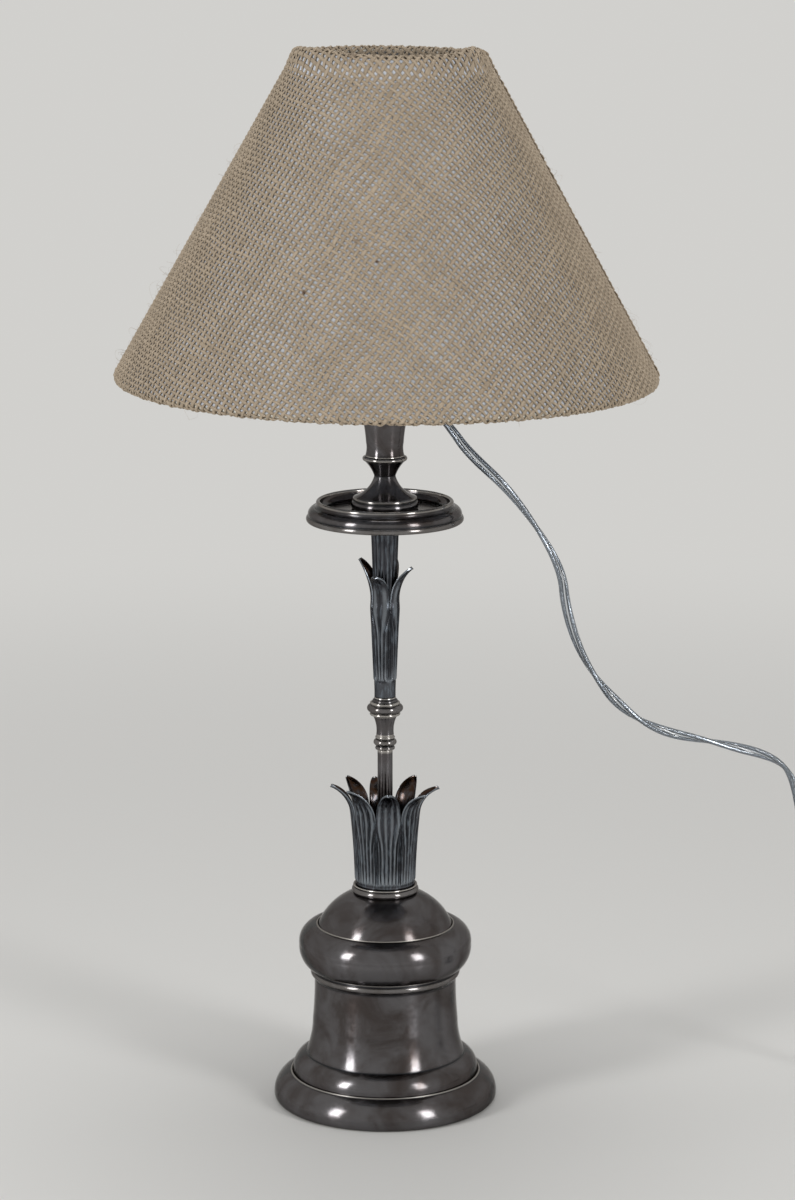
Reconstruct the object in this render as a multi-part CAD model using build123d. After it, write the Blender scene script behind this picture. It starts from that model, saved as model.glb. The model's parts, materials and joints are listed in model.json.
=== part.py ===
from build123d import *
import math
import os

# Candlestick lamp: silver-plated spun and turned brass candlestick, drawn together by one
# tie rod, with a rubber stopper in its nozzle that carries a side cord outlet and a
# small-screw lampholder. A jute shade tilts on a gimbal that swivels on the holder.
# Millimetres, +Z up, origin on the table at the middle of the foot. The front is -Y.

# ---------------------------------------------------------------- driving dimensions
FOOT_RADIUS = 62.6            # widest part of the foot moulding
GROOVE_RADIUS = 52.6          # bright line where the drum's lip meets the foot
GROOVE_TOP = 17.0
DRUM_RADIUS = 39.7            # slimmest part of the drum
DRUM_TOP = 72.8
SHOULDER_BOTTOM = 78.2
SHOULDER_RADIUS = 48.2
DOME_RADIUS = 37.6
DOME_BOTTOM = 102.0
DOME_TOP = 120.2
COLLAR_TOP = 125.3
SHEET = 1.3                   # spun brass wall

CUP_LEAVES = 8
CUP_RADIUS = 16.6             # lower leaf cup at its foot
CUP_NOTCH = 163.0             # height where its leaves part
CUP_TIP = 182.5
CUP_TIP_RADIUS = 29.5
CUP_TURN = 6.5                # degrees from straight ahead to the front leaf, towards +X
LEAF_WALL = 0.9

STEM_RADIUS = 4.2
STEM_TOP = 202.5
NECK_BOTTOM = 210.6
NECK_TOP = 222.0
CALYX_BOTTOM = 232.4
CALYX_FLOOR = 236.0
CALYX_LEAVES = 4
CALYX_NOTCH = 282.5
CALYX_TIP = 307.0
CALYX_TIP_RADIUS = 16.5
CALYX_TURN = -22.0            # degrees from straight ahead to the front leaf, towards -X

TRAY_RADIUS = 43.4
TRAY_FLOOR = 338.4
TRAY_CREST = 343.2
NOZZLE_BOTTOM = 367.6
NOZZLE_TOP = 392.2

ROD_RADIUS = 2.5
ROD_BORE = 2.65
ROD_BOTTOM = 2.8
ROD_TOP = 361.0

OUTLET_BOTTOM = 394.4
OUTLET_TOP = 417.0
OUTLET_RADIUS = 12.0
OUTLET_HEIGHT = 411.5         # where the cord outlet's axis leaves the body's wall
OUTLET_SLOPE = 50.0           # degrees that the outlet points below the horizontal
BOSS_LENGTH = 6.0
RELIEF_FLANGE = 1.2
RELIEF_LENGTH = 20.0

HOLDER_RADIUS = 14.0
HOLDER_SHELL_BOTTOM = 426.0
HOLDER_SHELL_TOP = 466.0
SWITCH_HEIGHT = 430.5
BULB_RADIUS = 17.5
BULB_TOP = 552.0

GIMBAL_HEIGHT = 440.0
SHADE_BOTTOM = 409.6
SHADE_TOP = 586.4
SHADE_BOTTOM_RADIUS = 150.0
SHADE_TOP_RADIUS = 51.3
SHADE_TILT = 0.5              # degrees that the front of the shade hangs low
SHADE_LEAN = 0.5              # degrees that its top leans towards +X
SHADE_SHIFT = 1.2             # how far it has slid along the gimbal pins
FABRIC = 1.3
LINING = 0.5
SHADE_WIRE = 1.25
SHADE_ARM_ANGLES = (90.0, 210.0, 330.0)

CORD = 5.6                    # width of the flat twin flex
CORD_STRAIGHT = CORD          # plain run at each end of the coil
COIL_CENTRE = (310.0, -15.0)
COIL_RADIUS = 39.1            # outer turn
COIL_PITCH = 6.25
COIL_TURNS_IN = 3.0
COIL_TURNS_OUT = 2.75
COIL_DIP = 1.9                # how far the climbing half turn leans inwards
FLOOR_LEVEL = CORD / 2 + 0.05  # centre line of cord that lies on the table

PLUG_WIDTH = 26.0
PLUG_DEPTH = 13.4
PLUG_RELIEF = 20.0
PLUG_BODY = 34.0
PIN_RADIUS = 2.0
PIN_LENGTH = 19.0
PIN_SPACING = 18.6

parts = {}


# ---------------------------------------------------------------- helpers
def on_xz(point):
    """A (radius, height) pair as a point of the XZ plane."""
    return (point[0], 0, point[1])


def outline(start, *steps):
    """Closed face in the XZ plane. A pair is the end of a straight edge; two pairs are
    the middle and the end of an arc."""
    edges = []
    here = start
    for step in steps:
        if isinstance(step[0], tuple):
            middle, end = step
            edges.append(ThreePointArc(on_xz(here), on_xz(middle), on_xz(end)))
        else:
            end = step
            edges.append(Line(on_xz(here), on_xz(end)))
        here = end
    edges.append(Line(on_xz(here), on_xz(start)))
    return make_face(edges)


def turned(start, *steps):
    """Solid turned about Z from an outline."""
    return revolve(outline(start, *steps), Axis.Z)


def ring(inner, outer, bottom, top):
    """Plain ring, or a disc where inner is 0."""
    body = Pos(0, 0, bottom) * extrude(Circle(outer), top - bottom)
    if inner:
        body -= Pos(0, 0, bottom - 1) * extrude(Circle(inner), top - bottom + 2)
    return body


def rod(start, end, radius):
    """Plain round rod between two points."""
    start = Vector(*start)
    end = Vector(*end)
    return Plane(origin=start, z_dir=end - start) * extrude(Circle(radius), (end - start).length)


def hexagon(across_flats, bottom, top):
    """Hexagonal nut blank."""
    circle_radius = across_flats / 2 / math.cos(math.radians(30))
    return Pos(0, 0, bottom) * extrude(RegularPolygon(circle_radius, 6), top - bottom)


def around(count, first=0.0):
    """Equally spaced turns about Z, in degrees."""
    return [Rot(0, 0, first + 360 * i / count) for i in range(count)]


# ---------------------------------------------------------------- base
def make_base():
    lip = GROOVE_RADIUS - 0.4
    parts["foot_ring"] = turned(
        (58.2, 0.6),
        (60.8, 0.6),
        ((62.2, 2.0), (FOOT_RADIUS, 4.3)),
        ((60.2, 11.9), (GROOVE_RADIUS + 0.4, GROOVE_TOP)),
        (lip, GROOVE_TOP),
        (lip, GROOVE_TOP - 1.4),
        ((58.9, 10.9), (FOOT_RADIUS - SHEET, 4.3)),
        ((60.7, 2.8), (58.2, 2.4)),
    )
    crease = (44.5, 27.8)
    parts["drum_shell"] = turned(
        (50.3, 15.4),
        (51.9, 15.4),
        (51.9, 18.6),
        ((50.0, 24.2), crease),
        ((42.5, 34.0), (40.8, 47.0)),
        ((40.0, 58.0), (DRUM_RADIUS, 71.4)),
        (DRUM_RADIUS + 0.9, DRUM_TOP),
        ((41.9, 74.9), (40.9, 76.4)),
        (40.9, SHOULDER_BOTTOM),
        (38.9, SHOULDER_BOTTOM),
        (38.9, 74.0),
        (DRUM_RADIUS - SHEET, 71.4),
        ((38.7, 58.0), (39.5, 47.0)),
        ((41.2, 34.0), (43.2, 26.8)),
        ((48.6, 23.4), (50.3, 18.2)),
    )
    parts["shoulder_ring"] = turned(
        (38.9, SHOULDER_BOTTOM + 0.05),
        (43.2, SHOULDER_BOTTOM + 0.05),
        ((46.9, 83.2), (SHOULDER_RADIUS, 90.8)),
        ((45.8, 98.7), (DOME_RADIUS + 0.7, 102.6)),
        (DOME_RADIUS + 0.2, 102.6),
        (DOME_RADIUS + 0.2, 101.3),
        ((44.7, 97.7), (SHOULDER_RADIUS - SHEET, 90.8)),
        ((45.8, 84.0), (42.7, SHOULDER_BOTTOM + SHEET)),
        (38.9, SHOULDER_BOTTOM + SHEET),
    )
    parts["dome_cap"] = turned(
        (DOME_RADIUS - SHEET, 100.6),
        (DOME_RADIUS, 100.6),
        (DOME_RADIUS, DOME_BOTTOM),
        ((30.7, 112.2), (18.0, DOME_TOP)),
        (ROD_BORE, DOME_TOP),
        (ROD_BORE, DOME_TOP - SHEET),
        (17.6, DOME_TOP - SHEET),
        ((29.8, 111.2), (DOME_RADIUS - SHEET, 101.8)),
    )
    parts["leaf_collar"] = turned(
        (ROD_BORE, DOME_TOP),
        (16.9, DOME_TOP),
        ((18.7, 122.3), (17.3, 124.3)),
        (17.6, 124.5),
        (17.6, COLLAR_TOP),
        (ROD_BORE, COLLAR_TOP),
    )
    parts["base_weight"] = turned(
        (ROD_BORE + 0.3, 8.2),
        (9.0, 8.2),
        (9.0, 2.7),
        (49.0, 2.7),
        (49.0, 16.0),
        (38.2, 27.0),
        (37.6, 42.0),
        (ROD_BORE + 0.3, 42.0),
    )
    parts["base_plate"] = ring(9.5, 57.6, 1.3, 2.5)
    parts["baize_pad"] = ring(0, 58.0, 0.0, 1.2)
    parts["tie_rod"] = ring(0, ROD_RADIUS, ROD_BOTTOM, ROD_TOP)
    parts["tie_rod_nut"] = hexagon(8.0, 3.0, 7.0) - ring(0, ROD_RADIUS + 0.05, 0, 10)
    parts["tie_rod_washer"] = ring(ROD_RADIUS + 0.1, 6.5, 7.05, 8.15)


# ---------------------------------------------------------------- leaves
def leaf_gap(notch, tip, tip_radius, leaves, shoulder, reach):
    """Cutter for the space between two leaves: it widens upwards in two arcs from the
    notch, and takes the whole width at the tip. Lies along +X."""
    half = tip_radius * math.sin(math.pi / leaves)
    rise = tip - notch
    middle = (half * shoulder, notch + 0.62 * rise)
    right = ThreePointArc((0, notch), (middle[0] * 0.42, notch + 0.30 * rise), middle)
    right += ThreePointArc(middle, (half * 0.74, notch + 0.88 * rise), (half, tip + 0.3))
    left = mirror(right, about=Plane.YZ)
    top = Polyline((half, tip + 0.3), (half, tip + 4), (-half, tip + 4), (-half, tip + 0.3))
    face = make_face([*right.edges(), *left.edges(), *top.edges()])
    frame = Plane(origin=(0, 0, 0), x_dir=(0, 1, 0), z_dir=(1, 0, 0))
    return frame * extrude(face, reach)


def make_leaves():
    cup = turned(
        (ROD_BORE, COLLAR_TOP),
        (CUP_RADIUS, COLLAR_TOP),
        ((17.4, 146.0), (19.1, 166.0)),
        ((22.4, 176.4), (CUP_TIP_RADIUS, CUP_TIP + 0.6)),
        (CUP_TIP_RADIUS - 0.6, CUP_TIP + 1.2),
        ((21.4, 176.9), (19.1 - LEAF_WALL, 166.2)),
        ((17.4 - LEAF_WALL, 146.0), (CUP_RADIUS - LEAF_WALL, COLLAR_TOP + 1.4)),
        (ROD_BORE, COLLAR_TOP + 1.4),
    )
    gap = leaf_gap(CUP_NOTCH, CUP_TIP, CUP_TIP_RADIUS, CUP_LEAVES, 0.30, CUP_TIP_RADIUS + 3)
    front = -90 + CUP_TURN
    for turn in around(CUP_LEAVES, front + 180 / CUP_LEAVES):
        cup -= turn * gap
    parts["lower_leaf_cup"] = cup

    calyx = turned(
        (ROD_BORE, CALYX_BOTTOM),
        (5.9, CALYX_BOTTOM),
        (5.85, CALYX_FLOOR),
        ((6.7, 258.0), (7.9, CALYX_NOTCH + 1)),
        ((9.6, 297.5), (CALYX_TIP_RADIUS, CALYX_TIP + 0.4)),
        (CALYX_TIP_RADIUS - 0.6, CALYX_TIP + 1.0),
        ((8.8, 297.7), (7.9 - 0.75, CALYX_NOTCH + 1)),
        ((6.7 - 0.75, 258.0), (5.1, CALYX_FLOOR + 0.6)),
        (5.1, CALYX_FLOOR),
        (ROD_BORE, CALYX_FLOOR),
    )
    gap = leaf_gap(CALYX_NOTCH, CALYX_TIP, CALYX_TIP_RADIUS, CALYX_LEAVES, 0.26,
                   CALYX_TIP_RADIUS + 3)
    front = -90 + CALYX_TURN
    for turn in around(CALYX_LEAVES, front + 180 / CALYX_LEAVES):
        calyx -= turn * gap
    parts["upper_leaf_cup"] = calyx


# ---------------------------------------------------------------- column
def make_column():
    stem_bottom = COLLAR_TOP + 1.45
    parts["lower_stem"] = ring(ROD_BORE, STEM_RADIUS, stem_bottom, STEM_TOP)
    parts["lower_knop"] = turned(
        (ROD_BORE, STEM_TOP),
        (5.1, STEM_TOP),
        ((5.5, 203.5), (5.0, 204.5)),
        (4.9, 205.2),
        ((6.45, 207.0), (5.0, 208.3)),
        (5.0, 208.7),
        ((5.5, 209.4), (5.0, 210.1)),
        (4.95, NECK_BOTTOM),
        (ROD_BORE, NECK_BOTTOM),
    )
    parts["neck_spool"] = turned(
        (ROD_BORE, NECK_BOTTOM),
        (4.95, NECK_BOTTOM),
        ((5.2, 217.4), (6.9, NECK_TOP)),
        (ROD_BORE, NECK_TOP),
    )
    parts["upper_knop"] = turned(
        (ROD_BORE, NECK_TOP),
        (7.8, NECK_TOP),
        ((8.5, 222.9), (7.9, 223.8)),
        (8.2, 224.2),
        ((10.05, 226.4), (8.2, 228.2)),
        ((8.4, 229.0), (7.2, 229.8)),
        ((6.9, 230.9), (6.2, 231.6)),
        (5.95, CALYX_BOTTOM),
        (ROD_BORE, CALYX_BOTTOM),
    )
    tray_underside = TRAY_FLOOR - 1.2
    reeded = turned(
        (ROD_BORE, CALYX_FLOOR + 0.05),
        (4.7, CALYX_FLOOR + 0.05),
        ((5.6, 262.0), (6.3, 286.0)),
        ((6.9, 308.0), (7.7, 329.5)),
        (6.9, 331.0),
        (6.9, tray_underside),
        (ROD_BORE, tray_underside),
    )
    parts["fluted_stem"] = reeded
    parts["drip_tray"] = turned(
        (ROD_BORE, tray_underside + 0.02),
        (31.2, tray_underside + 0.02),
        (35.2, 340.8),
        (37.0, 338.2),
        ((39.4, 334.8), (41.2, 331.8)),
        (42.4, 331.4),
        ((TRAY_RADIUS, 333.0), (42.5, 334.6)),
        ((41.4, 338.2), (38.6, 339.6)),
        ((37.9, 340.4), (37.8, 341.6)),
        ((36.7, TRAY_CREST), (35.5, 342.6)),
        ((34.0, 339.4), (31.0, TRAY_FLOOR)),
        (ROD_BORE, TRAY_FLOOR),
    )
    parts["nozzle_foot"] = turned(
        (ROD_BORE, TRAY_FLOOR + 0.02),
        (17.9, TRAY_FLOOR + 0.02),
        ((18.6, 340.9), (17.9, 343.4)),
        ((17.9, 344.6), (16.6, 345.3)),
        ((9.2, 350.2), (5.85, 356.6)),
        ((7.4, 360.1), (10.6, 364.4)),
        (11.2, 365.0),
        ((12.35, 366.4), (11.1, NOZZLE_BOTTOM)),
        (4.0, NOZZLE_BOTTOM),
        (4.0, ROD_TOP + 0.6),
        (ROD_BORE, ROD_TOP + 0.6),
    )
    parts["candle_nozzle"] = turned(
        (4.0, NOZZLE_BOTTOM + 0.02),
        (10.7, NOZZLE_BOTTOM + 0.02),
        ((10.1, 370.0), (10.2, 375.0)),
        ((11.0, 382.6), (12.3, 389.6)),
        ((13.2, 390.8), (12.8, NOZZLE_TOP)),
        (10.2, NOZZLE_TOP),
        (9.3, 369.8),
        (4.0, 369.8),
    )


# ---------------------------------------------------------------- stopper and cord outlet
def outlet_axis(distance):
    """Point on the cord outlet's axis, measured outwards from the body's wall."""
    slope = math.radians(OUTLET_SLOPE)
    return (
        OUTLET_RADIUS + distance * math.cos(slope),
        0,
        OUTLET_HEIGHT - distance * math.sin(slope),
    )


RELIEF_END = BOSS_LENGTH + RELIEF_FLANGE + RELIEF_LENGTH


def make_outlet():
    parts["candle_bung"] = turned(
        (3.1, 373.2),
        (9.0, 373.2),
        (9.75, 392.0),
        (9.75, NOZZLE_TOP + 0.05),
        (12.2, NOZZLE_TOP + 0.05),
        (12.4, OUTLET_BOTTOM - 0.05),
        (3.1, OUTLET_BOTTOM - 0.05),
    )
    parts["bung_screw"] = ring(0, 5.2, 370.2, 373.1) + ring(0, 3.0, 373.0, 399.0)
    boss_start = outlet_axis(-4.5)
    boss_end = outlet_axis(BOSS_LENGTH)
    body = ring(0, OUTLET_RADIUS, OUTLET_BOTTOM, OUTLET_TOP)
    body += rod(boss_start, boss_end, 4.6)
    body -= ring(0, OUTLET_RADIUS - 1.8, OUTLET_BOTTOM + 2.0, OUTLET_TOP - 2.0)
    body -= ring(0, 3.05, OUTLET_BOTTOM - 1, OUTLET_BOTTOM + 3)
    body -= ring(0, 5.05, OUTLET_TOP - 3, OUTLET_TOP + 1)
    body -= rod(outlet_axis(-9.0), outlet_axis(BOSS_LENGTH + 1), 3.3)
    parts["outlet_body"] = body
    flange = outlet_axis(BOSS_LENGTH + RELIEF_FLANGE)
    relief = rod(outlet_axis(-1.5), outlet_axis(BOSS_LENGTH + 0.5), 3.25)
    relief += rod(outlet_axis(BOSS_LENGTH + 0.02), flange, 4.4)
    slope = Vector(*outlet_axis(1)) - Vector(*outlet_axis(0))
    base = Plane(origin=flange, z_dir=slope)
    taper = loft([base * Circle(4.1), base.offset(RELIEF_LENGTH) * Circle(3.1)])
    parts["cord_relief"] = relief + taper


# ---------------------------------------------------------------- lampholder and bulb
def make_holder():
    parts["threaded_nipple"] = ring(4.2, 5.0, OUTLET_TOP - 3.5, 420.5)
    parts["holder_cap"] = turned(
        (5.05, OUTLET_TOP + 0.05),
        (9.0, OUTLET_TOP + 0.05),
        ((12.8, 420.6), (HOLDER_RADIUS, HOLDER_SHELL_BOTTOM - 0.05)),
        (HOLDER_RADIUS - 1.0, HOLDER_SHELL_BOTTOM - 0.05),
        ((11.9, 421.4), (8.7, 418.3)),
        (5.05, 418.3),
    )
    shell = turned(
        (12.8, HOLDER_SHELL_BOTTOM),
        (HOLDER_RADIUS, HOLDER_SHELL_BOTTOM),
        (HOLDER_RADIUS, 436.2),
        (17.0, 436.2),
        (17.0, 437.6),
        (HOLDER_RADIUS, 437.6),
        (HOLDER_RADIUS, HOLDER_SHELL_TOP),
        (12.8, HOLDER_SHELL_TOP),
    )
    core = ring(7.75, 12.6, 441.0, 464.0) + ring(0, 12.6, 426.0, 441.0)
    core += ring(0, 10.6, 422.0, 426.0)
    core -= ring(0, 4.3, 421.0, 424.0)
    bar_hole = rod((0, -20, SWITCH_HEIGHT), (0, 20, SWITCH_HEIGHT), 1.85)
    parts["holder_shell"] = shell - bar_hole
    screws = []
    for side in (-1, 1):
        stem = Pos(side * 7.5, 0, 0) * ring(0, 1.4, 421.9, 427.5)
        head = Pos(side * 7.5, 0, 0) * ring(0, 2.3, 420.2, 421.9)
        screws.append(stem + head)
        core -= Pos(side * 7.5, 0, 0) * ring(0, 1.45, 420.0, 428.0)
    parts["holder_core"] = core - bar_hole
    parts["terminal_screws"] = Compound(children=screws)
    parts["screw_shell"] = ring(7.2, 7.7, 442.0, 463.0)
    parts["centre_contact"] = ring(0, 2.6, 441.05, 442.3)
    wires = [rod((side, 0, 401.0), (side, 0, 423.6), 0.9) for side in (-1.2, 1.2)]
    parts["holder_wires"] = Compound(children=wires)
    parts["ring_nut"] = ring(HOLDER_RADIUS + 0.05, 18.4, 442.45, 448.2)

    bar_front = -25.0
    bar_back = 19.0
    knob = 4.4
    bar = rod((0, bar_front, SWITCH_HEIGHT), (0, bar_back, SWITCH_HEIGHT), 1.8)
    bar += rod((0, bar_front, SWITCH_HEIGHT), (0, bar_front + knob, SWITCH_HEIGHT), 2.6)
    bar += rod((0, bar_back - knob, SWITCH_HEIGHT), (0, bar_back, SWITCH_HEIGHT), 2.6)
    parts["switch_bar"] = bar

    parts["bulb_contact"] = ring(0, 2.2, 442.4, 443.6)
    parts["bulb_insulator"] = turned((0, 443.65), (2.6, 443.65), (5.4, 446.0), (0, 446.0))
    parts["bulb_cap"] = ring(6.5, 7.05, 446.05, 466.5)
    glass_wall = 0.8
    parts["bulb_glass"] = turned(
        (0, 459.0),
        (6.4, 459.0),
        (6.4, 468.0),
        ((8.2, 474.5), (13.6, 484.0)),
        ((BULB_RADIUS, 500.0), (13.2, 520.0)),
        ((6.2, 538.0), (1.6, BULB_TOP - 1.0)),
        (0, BULB_TOP),
        (0, BULB_TOP - 2.4),
        ((5.4, 537.2), (12.3, 519.6)),
        ((BULB_RADIUS - glass_wall, 500.0), (12.9, 484.4)),
        ((7.5, 475.0), (5.6, 468.2)),
        (5.6, 460.0),
        (0, 460.0),
    )
    parts["bulb_stem"] = turned((0, 460.05), (5.0, 460.05), (2.2, 474.0), (1.6, 486.0), (0, 486.0))
    filaments = [
        turn * rod((2.4, 0, 487.0), (5.6, 0, 519.0), 0.9) for turn in around(4, 45)
    ]
    parts["bulb_filaments"] = Compound(children=filaments)


# ---------------------------------------------------------------- shade
def cone_radius(height):
    """Outer radius of the jute cover at a height, while it is upright."""
    share = (height - SHADE_BOTTOM) / (SHADE_TOP - SHADE_BOTTOM)
    return SHADE_BOTTOM_RADIUS + share * (SHADE_TOP_RADIUS - SHADE_BOTTOM_RADIUS)


def cone_skin(outside, inside, bottom, top):
    """Conical sheet between two depths measured square to the cover's surface."""
    slant = math.atan2(SHADE_BOTTOM_RADIUS - SHADE_TOP_RADIUS, SHADE_TOP - SHADE_BOTTOM)
    outer = outside / math.cos(slant)
    inner = inside / math.cos(slant)
    return turned(
        (cone_radius(bottom) - inner, bottom),
        (cone_radius(bottom) - outer, bottom),
        (cone_radius(top) - outer, top),
        (cone_radius(top) - inner, top),
    )


def wire_circle(height):
    """Wire ring inside the cover, with the radius of its centre line."""
    slant = math.atan2(SHADE_BOTTOM_RADIUS - SHADE_TOP_RADIUS, SHADE_TOP - SHADE_BOTTOM)
    radius = cone_radius(height) - (FABRIC + 0.1 + SHADE_WIRE) / math.cos(slant)
    section = Plane.XZ * Pos(radius, height) * Circle(SHADE_WIRE)
    return revolve(section, Axis.Z), radius


def askew(shape):
    """The shade hangs a little low at the front, leans and sits over to the right."""
    place = Pos(SHADE_SHIFT, 0, GIMBAL_HEIGHT) * Rot(SHADE_TILT, SHADE_LEAN, 0)
    return place * Pos(0, 0, -GIMBAL_HEIGHT) * shape


def make_shade():
    low_wire = SHADE_BOTTOM + 2.6
    high_wire = SHADE_TOP - 2.6
    bottom_wire, bottom_radius = wire_circle(low_wire)
    top_wire, _ = wire_circle(high_wire)
    parts["shade_bottom_wire"] = askew(bottom_wire)
    parts["shade_top_wire"] = askew(top_wire)
    parts["shade_fabric"] = askew(cone_skin(0, FABRIC, SHADE_BOTTOM, SHADE_TOP))
    lining = cone_skin(FABRIC + 0.1, FABRIC + 0.1 + LINING, SHADE_BOTTOM + 5.4, SHADE_TOP - 5.4)
    parts["shade_lining"] = askew(lining)

    half = 2.2
    low = GIMBAL_HEIGHT - half
    high = GIMBAL_HEIGHT + half
    gimbal_outer = 25.4
    pin_radius = 1.2
    pin_head = gimbal_outer + SHADE_SHIFT + 0.1
    fitter = ring(14.25, 19.5, low, high)
    gimbal = askew(ring(22.4, gimbal_outer, low, high))
    pins = []
    for side in (-1, 1):
        inner_end = (side * 13, 0, GIMBAL_HEIGHT)
        outer_end = (side * 30, 0, GIMBAL_HEIGHT)
        fitter -= rod(inner_end, outer_end, pin_radius)
        gimbal -= rod(inner_end, outer_end, pin_radius + 0.05)
        head = (side * pin_head, 0, GIMBAL_HEIGHT)
        pin = rod((side * 15, 0, GIMBAL_HEIGHT), head, pin_radius)
        pin += rod(head, (side * (pin_head + 1.1), 0, GIMBAL_HEIGHT), 2.1)
        pins.append(pin)
    parts["fitter_ring"] = fitter
    parts["gimbal_pins"] = Compound(children=pins)
    parts["gimbal_ring"] = gimbal
    arms = []
    for angle in SHADE_ARM_ANGLES:
        along = Rot(0, 0, angle)
        reach = bottom_radius - SHADE_WIRE + 0.15
        arms.append(
            along * rod((gimbal_outer - 0.3, 0, GIMBAL_HEIGHT), (reach, 0, low_wire), SHADE_WIRE)
        )
    parts["shade_arms"] = askew(Compound(children=arms))


# ---------------------------------------------------------------- cord
# The cord's hanging stretch, from the relief's end to the table beside the coil.
HANGING_ROUTE = [
    outlet_axis(RELIEF_END),
    outlet_axis(RELIEF_END + 10.5),
    (45.6, 0.0, 369.2),
    (70.5, 0.0, 346.5),
    (97.0, 0.0, 307.0),
    (99.8, 0.0, 280.5),
    (109.0, 1.0, 254.0),
    (127.0, 3.0, 228.5),
    (150.5, 8.0, 211.0),
    (186.4, 16.0, 202.0),
    (221.4, 22.0, 191.6),
    (231.0, 24.0, 176.0),
    (235.6, 24.5, 152.0),
    (242.0, 24.0, 118.0),
    (249.4, 23.5, 84.5),
    (256.6, 24.0, 56.0),
    (264.8, 24.3, 31.5),
    (276.0, 24.1, 11.5),
    (292.0, 24.1, FLOOR_LEVEL),
    (COIL_CENTRE[0] - CORD_STRAIGHT, COIL_CENTRE[1] + COIL_RADIUS, FLOOR_LEVEL),
]
UPPER_LEVEL = FLOOR_LEVEL + COIL_PITCH
PLUG_LEVEL = PLUG_DEPTH / 2


def corner_radii(route):
    """Each arc as large as its two runs allow."""
    radii = []
    for before, here, after in zip(route, route[1:], route[2:]):
        first = Vector(*here) - Vector(*before)
        second = Vector(*after) - Vector(*here)
        half_turn = math.radians(first.get_angle(second)) / 2
        radii.append(0.45 * min(first.length, second.length) / math.tan(half_turn))
    return radii


def cord_tube(route, name):
    """Round tube along straight runs joined by tangent arcs."""
    radii = corner_radii(route)
    path = FilletPolyline(*route, radius=radii)
    section = Plane(origin=path @ 0, z_dir=path % 0) * Circle(CORD / 2)
    tube = sweep(section, path=path)
    wanted = math.pi * (CORD / 2) ** 2 * path.length
    print(f"{name}: length {path.length:.1f}, volume ratio {tube.volume / wanted:.4f}, radii",
          [round(radius, 1) for radius in radii])
    return tube, path.length


def coil_point(turns):
    """Centre line of the coil after a number of turns: it spirals in, climbs one layer in
    a half turn that leans inwards, and spirals out again on top. It turns clockwise."""
    climb_end = COIL_TURNS_IN + 0.5
    inner = COIL_RADIUS - COIL_PITCH * COIL_TURNS_IN
    if turns < COIL_TURNS_IN:
        radius = COIL_RADIUS - COIL_PITCH * turns
        height = FLOOR_LEVEL
    elif turns < climb_end:
        share = (turns - COIL_TURNS_IN) / 0.5
        radius = inner - COIL_DIP * math.sin(math.pi * share) ** 2
        height = FLOOR_LEVEL + COIL_PITCH * share * share * (3 - 2 * share)
    else:
        radius = inner + COIL_PITCH * (turns - climb_end)
        height = UPPER_LEVEL
    angle = math.pi / 2 - 2 * math.pi * turns
    return Vector(
        COIL_CENTRE[0] + radius * math.cos(angle),
        COIL_CENTRE[1] + radius * math.sin(angle),
        height,
    )


def coil_direction(turns, last):
    """Unit direction of the centre line; the two ends run square to the coil's radius."""
    if turns == 0:
        return Vector(1, 0, 0)
    if turns == last:
        return Vector(0, -1, 0)
    step = 1e-4
    return (coil_point(turns + step) - coil_point(turns - step)).normalized()


def arc_in_corner(start, corner, end):
    """Arc tangent to both sides of an even corner."""
    middle = (start + end) * 0.5
    half_turn = (corner - start).get_angle(end - start)
    share = math.cos(math.radians(half_turn)) / (1 + math.cos(math.radians(half_turn)))
    return ThreePointArc(start, middle + (corner - middle) * share, end)


def biarc(start, start_direction, end, end_direction):
    """Two tangent arcs from one directed point to another."""
    chord = end - start
    total = start_direction + end_direction
    a = 2 * (1 - start_direction.dot(end_direction))
    b = 2 * chord.dot(total)
    c = -chord.dot(chord)
    reach = (-b + math.sqrt(b * b - 4 * a * c)) / (2 * a)
    first_corner = start + start_direction * reach
    second_corner = end - end_direction * reach
    joint = (first_corner + second_corner) * 0.5
    return [arc_in_corner(start, first_corner, joint), arc_in_corner(joint, second_corner, end)]


def coil_gap(last):
    """Least gap between the coil's turns, on points along its centre line."""
    per_turn = 96
    points = [coil_point(i / per_turn) for i in range(int(last * per_turn) + 1)]
    apart = per_turn // 2
    least = min(
        (points[j] - points[i]).length
        for i in range(0, len(points), 2)
        for j in range(i + apart, len(points))
    )
    return least - CORD


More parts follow.
